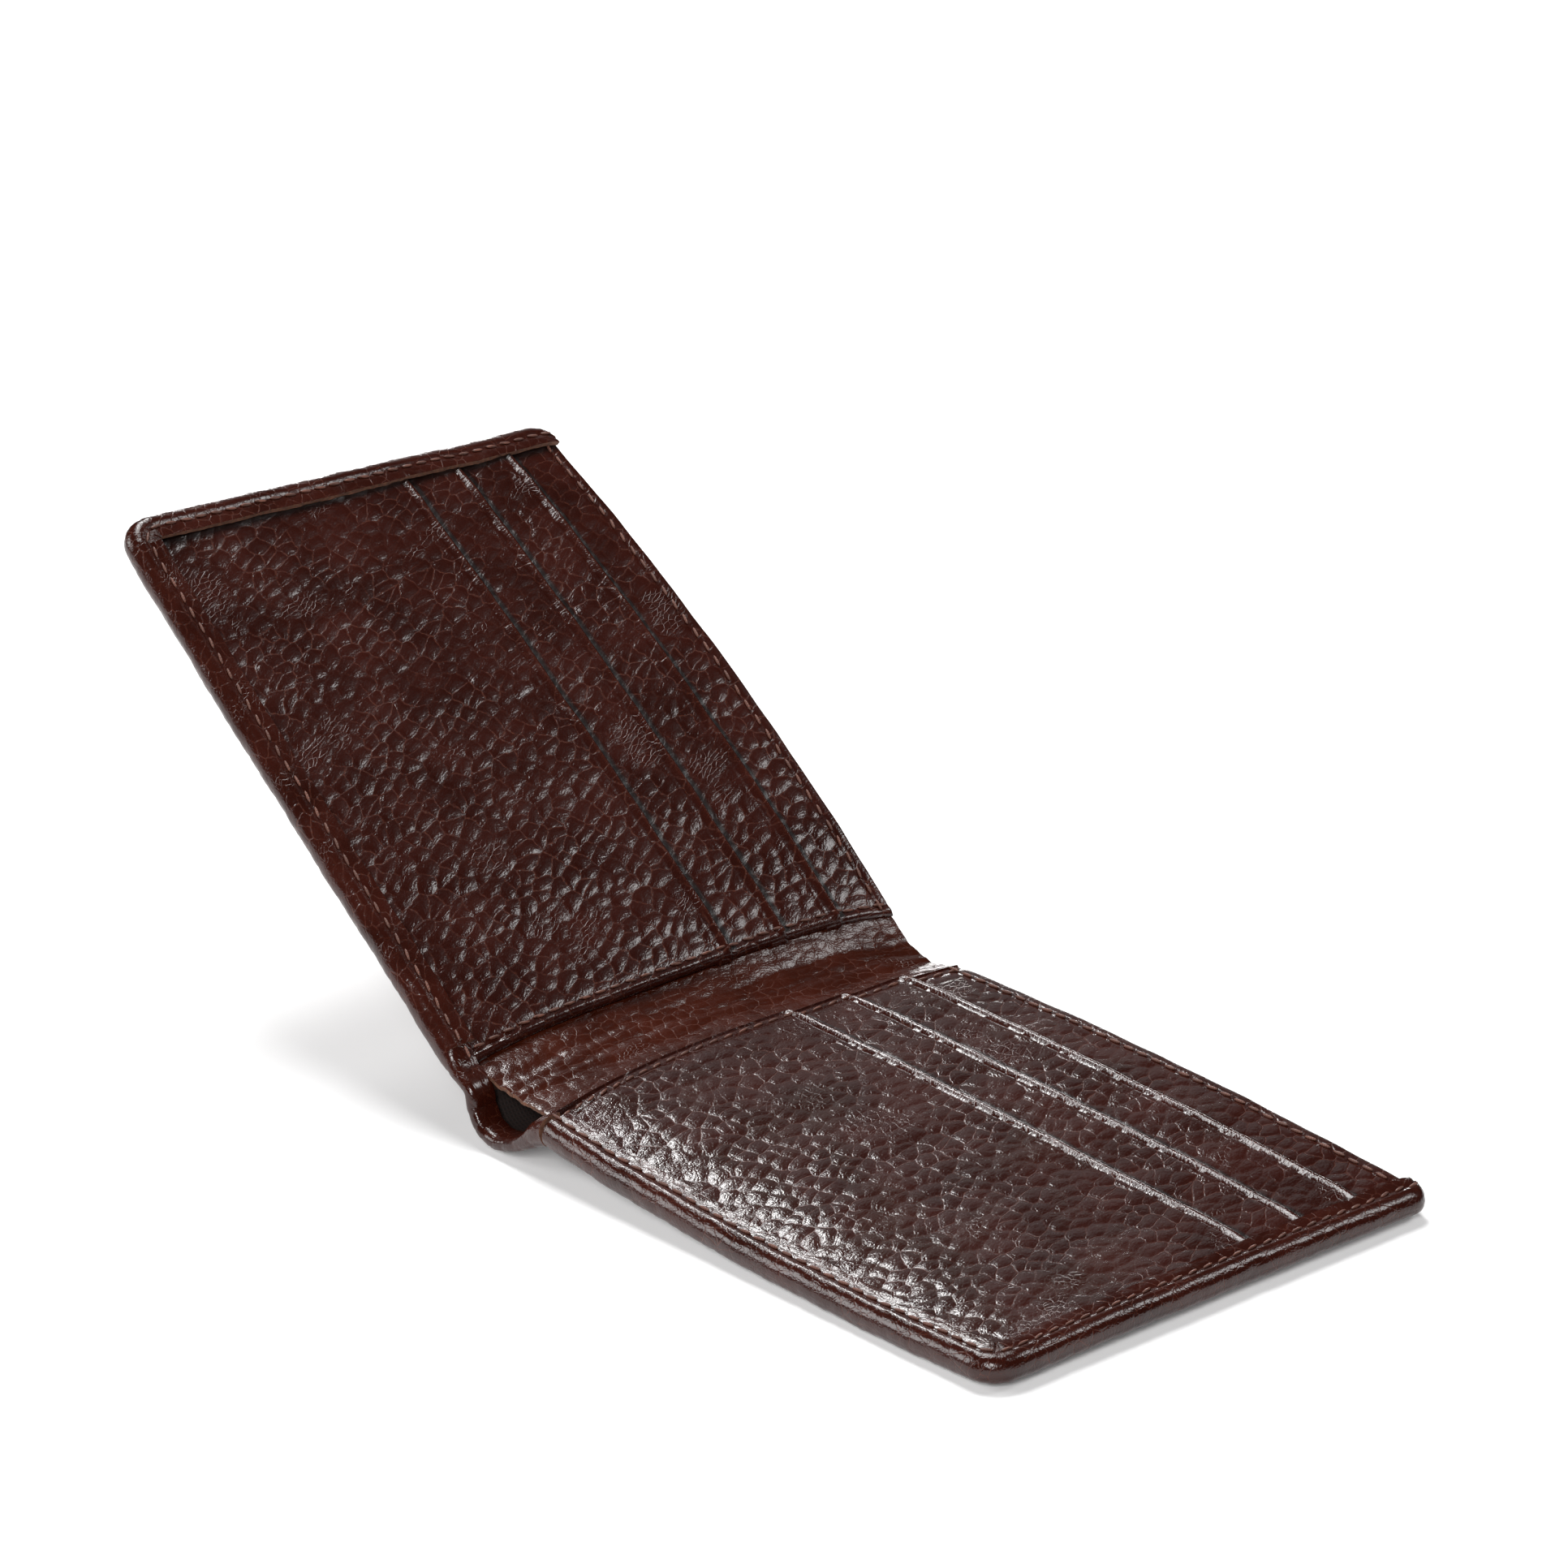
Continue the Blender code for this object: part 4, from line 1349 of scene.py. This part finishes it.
def spine_lining(sizes, finish):
    """Fabric that lines the pouch."""
    count = LINING_COLUMNS
    rows_v = steps(5.2 * MM, HEIGHT - 5.0 * MM, 2.0 * MM)
    paths = pouch_paths(rows_v, count)
    inset = sizes.cover_leather + 0.25 * MM
    keep = range(int(0.24 * count), int(0.78 * count))
    points = []
    for row, v in enumerate(rows_v):
        line = []
        for number in keep:
            tangent = paths[row][number + 1] - paths[row][number - 1]
            tangent = tangent / np.linalg.norm(tangent)
            place = paths[row][number] + inset * np.array([tangent[1], -tangent[0]])
            line.append((place[0], v - 0.5 * HEIGHT, place[1]))
        points.append(line)
    points = np.array(points)
    plans = np.zeros_like(points)
    plans[..., 0] = np.arange(points.shape[1]) * 0.6 * MM
    plans[..., 1] = rows_v[:, None]
    sheet = Sheet()
    sheet.grid(points, plans, 0.0)
    thing = sheet.build("spine_pouch_lining")
    normal_up(thing)
    thing.data.materials.append(woven("lining_weave", finish.fabric))
    thicken(thing, sizes.fabric)
    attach(thing, "spine")
    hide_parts("spine_lining")
    return thing


# ---------------------------------------------------------------------------------------------
# Seams
# ---------------------------------------------------------------------------------------------

SEAM_INPUTS = (
    ("Geometry", "NodeSocketGeometry", None),
    ("Stitch", "NodeSocketFloat", 0.0022),
    ("Gap", "NodeSocketFloat", 0.0008),
    ("Thread", "NodeSocketFloat", 0.0004),
    ("Slant", "NodeSocketFloat", 0.12),
    ("Seed", "NodeSocketInt", 1),
    ("Finish", "NodeSocketMaterial", None),
)


def seam_tree():
    """Lays stitches along a path, each dipping into the leather at its ends."""
    found = bpy.data.node_groups.get("seam_stitches")
    if found:
        return found
    tree, wiring, given, out = new_group(
        "seam_stitches", "GeometryNodeTree", SEAM_INPUTS, (("Geometry", "NodeSocketGeometry"),)
    )
    path = wiring.add("GeometryNodeMeshToCurve", {"Mesh": given["Geometry"]}).outputs[0]
    pitch = wiring.math("ADD", given["Stitch"], given["Gap"])
    spaced = wiring.add("GeometryNodeResampleCurve", {"Curve": path, "Length": pitch}, mode="LENGTH")
    tangent = wiring.add("GeometryNodeInputTangent").outputs[0]
    turned = wiring.add(
        "FunctionNodeAlignRotationToVector", {"Vector": tangent}, axis="X", pivot_axis="Z"
    ).outputs[0]
    wobble = wiring.add(
        "FunctionNodeRandomValue",
        {"Min": (-0.04, 0.0, -0.09), "Max": (0.04, 0.0, 0.09), "Seed": given["Seed"]},
        data_type="FLOAT_VECTOR",
    ).outputs[0]
    slanted = wiring.vector(
        "ADD", wobble, wiring.add("ShaderNodeCombineXYZ", {0: 0.0, 1: 0.0, 2: given["Slant"]}).outputs[0]
    )
    turned = wiring.add(
        "FunctionNodeRotateRotation",
        {"Rotation": turned, "Rotate By": wiring.add("FunctionNodeEulerToRotation", {0: slanted}).outputs[0]},
        rotation_space="LOCAL",
    ).outputs[0]
    ball = wiring.add("GeometryNodeMeshUVSphere", {"Segments": 8, "Rings": 6, "Radius": 0.5})
    size = wiring.add(
        "ShaderNodeCombineXYZ", {0: given["Stitch"], 1: given["Thread"], 2: given["Thread"]}
    ).outputs[0]
    placed = wiring.add(
        "GeometryNodeInstanceOnPoints",
        {"Points": spaced.outputs[0], "Instance": ball.outputs[0], "Rotation": turned, "Scale": size},
    )
    whole = wiring.add("GeometryNodeRealizeInstances", {"Geometry": placed.outputs[0]})
    dressed = wiring.add(
        "GeometryNodeSetMaterial", {"Geometry": whole.outputs[0], "Material": given["Finish"]}
    )
    tree.links.new(dressed.outputs[0], out["Geometry"])
    return tree


STITCH_SLANT = 0.14


def sew(name, path, sizes, finish, seed):
    """A row of stitches along a path of points."""
    mesh = bpy.data.meshes.new(name)
    mesh.from_pydata([tuple(point) for point in path], [(n, n + 1) for n in range(len(path) - 1)], [])
    thing = bpy.data.objects.new(name, mesh)
    bpy.context.scene.collection.objects.link(thing)
    values = {
        "Stitch": sizes.stitch,
        "Gap": sizes.stitch_gap,
        "Thread": sizes.thread,
        "Slant": STITCH_SLANT,
        "Seed": seed,
        "Finish": twisted_thread("sewing_thread", finish.thread),
    }
    thing = run_nodes(thing, seam_tree(), values)
    thing.data.shade_smooth()
    return thing


def hem_seam_path(half, sizes):
    """Round the hem, from the spine to the mouth."""
    corner = sizes.corner_radius
    inset = sizes.hem_seam
    level = rim_thickness(half) - 0.08 * MM
    start = cover_start(half) - (0.0 if half is FLOOR else 1.5 * MM)
    path = [(u, inset, level) for u in steps(start, half.end - corner, 2.0 * MM)]
    for turn in np.radians(np.linspace(0.0, 90.0, 8))[1:-1]:
        u = half.end - corner + (corner - inset) * math.sin(turn)
        path.append((u, corner - (corner - inset) * math.cos(turn), level))
    rise = steps(corner, HEIGHT - 1.5 * MM, 2.0 * MM)
    path += [(half.end - inset, v, level * hem_share(v)) for v in rise]
    return path


def top_seam_path(half, sizes):
    """Along the top edge of the card panel."""
    level = slot_levels(half, "top_strip")[1] + 0.04 * MM
    v = half.span("top_strip")[1][1] - sizes.top_seam
    start = inner_edge(half, v) + sizes.inner_seam
    return [(u, v, level) for u in steps(start, half.end - sizes.hem_width - 0.5 * MM, 2.0 * MM)]


def inner_seam_path(half, sizes):
    """Down the card panel's edge at the spine, from slot to slot."""
    path = []
    sink = 0.14 * MM if half is FLOOR else 0.0
    for v in steps(6.2 * MM, HEIGHT - 2.4 * MM, 0.5 * MM):
        for node in SLOT_FACES:
            low, high = half.span(node)
            if v <= high[1]:
                below, above = slot_levels(half, node)
                level = below + (above - below) * max(0.0, (v - low[1]) / (high[1] - low[1]))
                break
        path.append((inner_edge(half, v) + sizes.inner_seam, v, level - sink))
    return path


def seams(half, sizes, finish):
    """The three seams of one half."""
    rows = (("hem", hem_seam_path, 3), ("top", top_seam_path, 5), ("inner", inner_seam_path, 8))
    for name, path, seed in rows:
        thing = sew("%s_%s_stitches" % (half.name, name), path(half, sizes), sizes, finish, seed=seed)
        lay(thing, half)
        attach(thing, half.body)
        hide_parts("%s_%s_thread" % (half.name, name))


# ---------------------------------------------------------------------------------------------
# Stage
# ---------------------------------------------------------------------------------------------

def aim(thing, place, target, roll=0.0):
    """Puts a camera or light at a place, looking at a target."""
    place = Vector(place)
    facing = (Vector(target) - place).to_track_quat("-Z", "Y").to_matrix().to_4x4()
    thing.matrix_world = Matrix.Translation(place) @ facing @ Matrix.Rotation(roll, 4, "Z")


def softbox(name, place, width, depth, watts):
    """A soft rectangular light that looks at the wallet."""
    lamp = bpy.data.lights.new(name, "AREA")
    lamp.shape = "RECTANGLE"
    lamp.size = width
    lamp.size_y = depth
    lamp.energy = watts
    thing = bpy.data.objects.new(name, lamp)
    bpy.context.scene.collection.objects.link(thing)
    aim(thing, place, (0.0, 0.0, 0.0))


FLOOR_SIDE = 3.0
FLOOR_LEVEL = -0.0006


def pale_floor(finish):
    mesh = bpy.data.meshes.new("floor_sheet")
    corners = ((-1, -1), (1, -1), (1, 1), (-1, 1))
    mesh.from_pydata([(FLOOR_SIDE * x, FLOOR_SIDE * y, FLOOR_LEVEL) for x, y in corners], [], [(0, 1, 2, 3)])
    thing = bpy.data.objects.new("floor_sheet", mesh)
    bpy.context.scene.collection.objects.link(thing)
    material, _, shader = blank_material("plain_floor")
    shader.inputs["Base Color"].default_value = rgba(finish.paper)
    shader.inputs["Roughness"].default_value = 0.9
    shader.inputs["Specular IOR Level"].default_value = 0.1
    shader.inputs["Emission Color"].default_value = rgba(finish.paper)
    shader.inputs["Emission Strength"].default_value = 0.12
    mesh.materials.append(material)


def surroundings(strength):
    world = bpy.data.worlds.new("studio")
    world.use_nodes = True
    background = world.node_tree.nodes["Background"]
    background.inputs["Color"].default_value = (1.0, 1.0, 1.0, 1.0)
    background.inputs["Strength"].default_value = strength
    bpy.context.scene.world = world


# ---------------------------------------------------------------------------------------------
# Operators
# ---------------------------------------------------------------------------------------------

REDO = {"REGISTER", "UNDO"}


def settings(context):
    return context.scene.wallet_sizes, context.scene.wallet_finish


class WALLET_OT_covers(bpy.types.Operator):
    """Makes the outer leather of both halves and its turned edge at the mouth"""

    bl_idname = "wallet.covers"
    bl_label = "Covers"
    bl_options = REDO

    def execute(self, context):
        sizes, finish = settings(context)
        for half in HALVES.values():
            cover(half, sizes, finish)
            mouth_hem(half, sizes, finish)
        return {"FINISHED"}


class WALLET_OT_card_panels(bpy.types.Operator):
    """Makes the overlapping leather faces of the card slots"""

    bl_idname = "wallet.card_panels"
    bl_label = "Card panels"
    bl_options = REDO

    def execute(self, context):
        sizes, finish = settings(context)
        for half in HALVES.values():
            for node in SLOT_FACES:
                slot_face(half, sizes, finish, node)
        return {"FINISHED"}


class WALLET_OT_linings(bpy.types.Operator):
    """Makes the boards, linings and dividers inside both halves"""

    bl_idname = "wallet.linings"
    bl_label = "Linings"
    bl_options = REDO

    def execute(self, context):
        sizes, finish = settings(context)
        for half in HALVES.values():
            divider(half, finish)
            for node in FLAT_SHEETS:
                flat_sheet(half, sizes, finish, node)
        return {"FINISHED"}


class WALLET_OT_spine(bpy.types.Operator):
    """Makes the spine's leather pouch, its lining and the strip over it"""

    bl_idname = "wallet.spine"
    bl_label = "Spine"
    bl_options = REDO

    def execute(self, context):
        sizes, finish = settings(context)
        sides = (
            ("floor_side", 0.0, SPINE_MIDDLE, ("floor_half", "spine"), FLOOR_POINT, SPINE_POINT),
            ("raised_side", SPINE_MIDDLE, 1.0, ("spine", "raised_half"), SPINE_POINT, RAISED_POINT),
        )
        for side, first, last, bodies, start, end in sides:
            spine_cover(sizes, finish, "spine_cover_" + side, first, last)
        for side, first, last, bodies, start, end in sides:
            strip_piece(sizes, finish, "strip_" + side, first, last, ("spine_divider",))
        spine_lining(sizes, finish)
        return {"FINISHED"}


class WALLET_OT_seams(bpy.types.Operator):
    """Sews the hems, the tops and the inner edges of the card panels"""

    bl_idname = "wallet.seams"
    bl_label = "Seams"
    bl_options = REDO

    def execute(self, context):
        sizes, finish = settings(context)
        for half in HALVES.values():
            seams(half, sizes, finish)
        return {"FINISHED"}


CAMERA_TARGET = (0.0093, -0.0018, 0.0536)


class WALLET_OT_stage(bpy.types.Operator):
    """Makes the plain floor, the soft lights and the camera"""

    bl_idname = "wallet.stage"
    bl_label = "Stage"
    bl_options = REDO

    def execute(self, context):
        stage = context.scene.wallet_stage
        pale_floor(context.scene.wallet_finish)
        surroundings(stage.sky)
        softbox("key_light", (-0.38, 0.12, 1.10), 0.50, 0.50, stage.key)
        softbox("gloss_light", (-0.76, 0.40, 0.80), 0.18, 0.18, stage.gloss)
        softbox("side_light", (0.52, 0.78, 0.78), 0.30, 0.30, stage.side)
        softbox("sheen_card", (-0.80, 0.75, 0.52), 0.50, 0.40, stage.sheen)
        softbox("raised_sheen_card", (0.22, 0.74, 0.92), 0.40, 0.40, 0.6 * stage.sheen)
        softbox("low_light", (-0.88, 0.86, 0.11), 0.60, 0.10, stage.low)
        softbox("fill_light", (-0.80, -0.80, 0.50), 0.60, 0.50, stage.fill)
        softbox("right_light", (0.62, -0.85, 0.62), 0.35, 0.35, stage.right)
        target = Vector(CAMERA_TARGET)
        lens = bpy.data.cameras.new("camera")
        lens.lens = stage.lens
        lens.sensor_width = 36.0
        lens.clip_start = 0.05
        lens.clip_end = 20.0
        camera = bpy.data.objects.new("camera", lens)
        context.scene.collection.objects.link(camera)
        flat = math.cos(stage.elevation)
        back = Vector((
            math.sin(stage.azimuth) * flat,
            -math.cos(stage.azimuth) * flat,
            math.sin(stage.elevation),
        ))
        aim(camera, target + back * stage.distance, target, stage.roll)
        context.scene.camera = camera
        context.scene.view_settings.view_transform = "Standard"
        return {"FINISHED"}


OPERATORS = (
    WALLET_OT_covers,
    WALLET_OT_card_panels,
    WALLET_OT_linings,
    WALLET_OT_spine,
    WALLET_OT_seams,
    WALLET_OT_stage,
)


class WALLET_PT_panel(bpy.types.Panel):
    """Lists the wallet's steps and sizes"""

    bl_label = "Wallet"
    bl_idname = "WALLET_PT_panel"
    bl_space_type = "VIEW_3D"
    bl_region_type = "UI"
    bl_category = "Wallet"

    def draw(self, context):
        layout = self.layout
        for operator in OPERATORS:
            layout.operator(operator.bl_idname)
        for group in (context.scene.wallet_sizes, context.scene.wallet_finish, context.scene.wallet_stage):
            box = layout.box()
            for name in group.bl_rna.properties.keys():
                if name not in {"rna_type", "name"}:
                    box.prop(group, name)


CLASSES = (WalletSizes, WalletFinish, WalletStage, *OPERATORS, WALLET_PT_panel)


def register():
    for each in CLASSES:
        bpy.utils.register_class(each)
    bpy.types.Scene.wallet_sizes = PointerProperty(type=WalletSizes)
    bpy.types.Scene.wallet_finish = PointerProperty(type=WalletFinish)
    bpy.types.Scene.wallet_stage = PointerProperty(type=WalletStage)


def unregister():
    for name in ("wallet_sizes", "wallet_finish", "wallet_stage"):
        delattr(bpy.types.Scene, name)
    for each in reversed(CLASSES):
        bpy.utils.unregister_class(each)


def main():
    register()
    bpy.ops.wallet.covers()
    bpy.ops.wallet.card_panels()
    bpy.ops.wallet.linings()
    bpy.ops.wallet.spine()
    bpy.ops.wallet.seams()
    bpy.ops.wallet.stage()


if __name__ == "__main__":
    main()
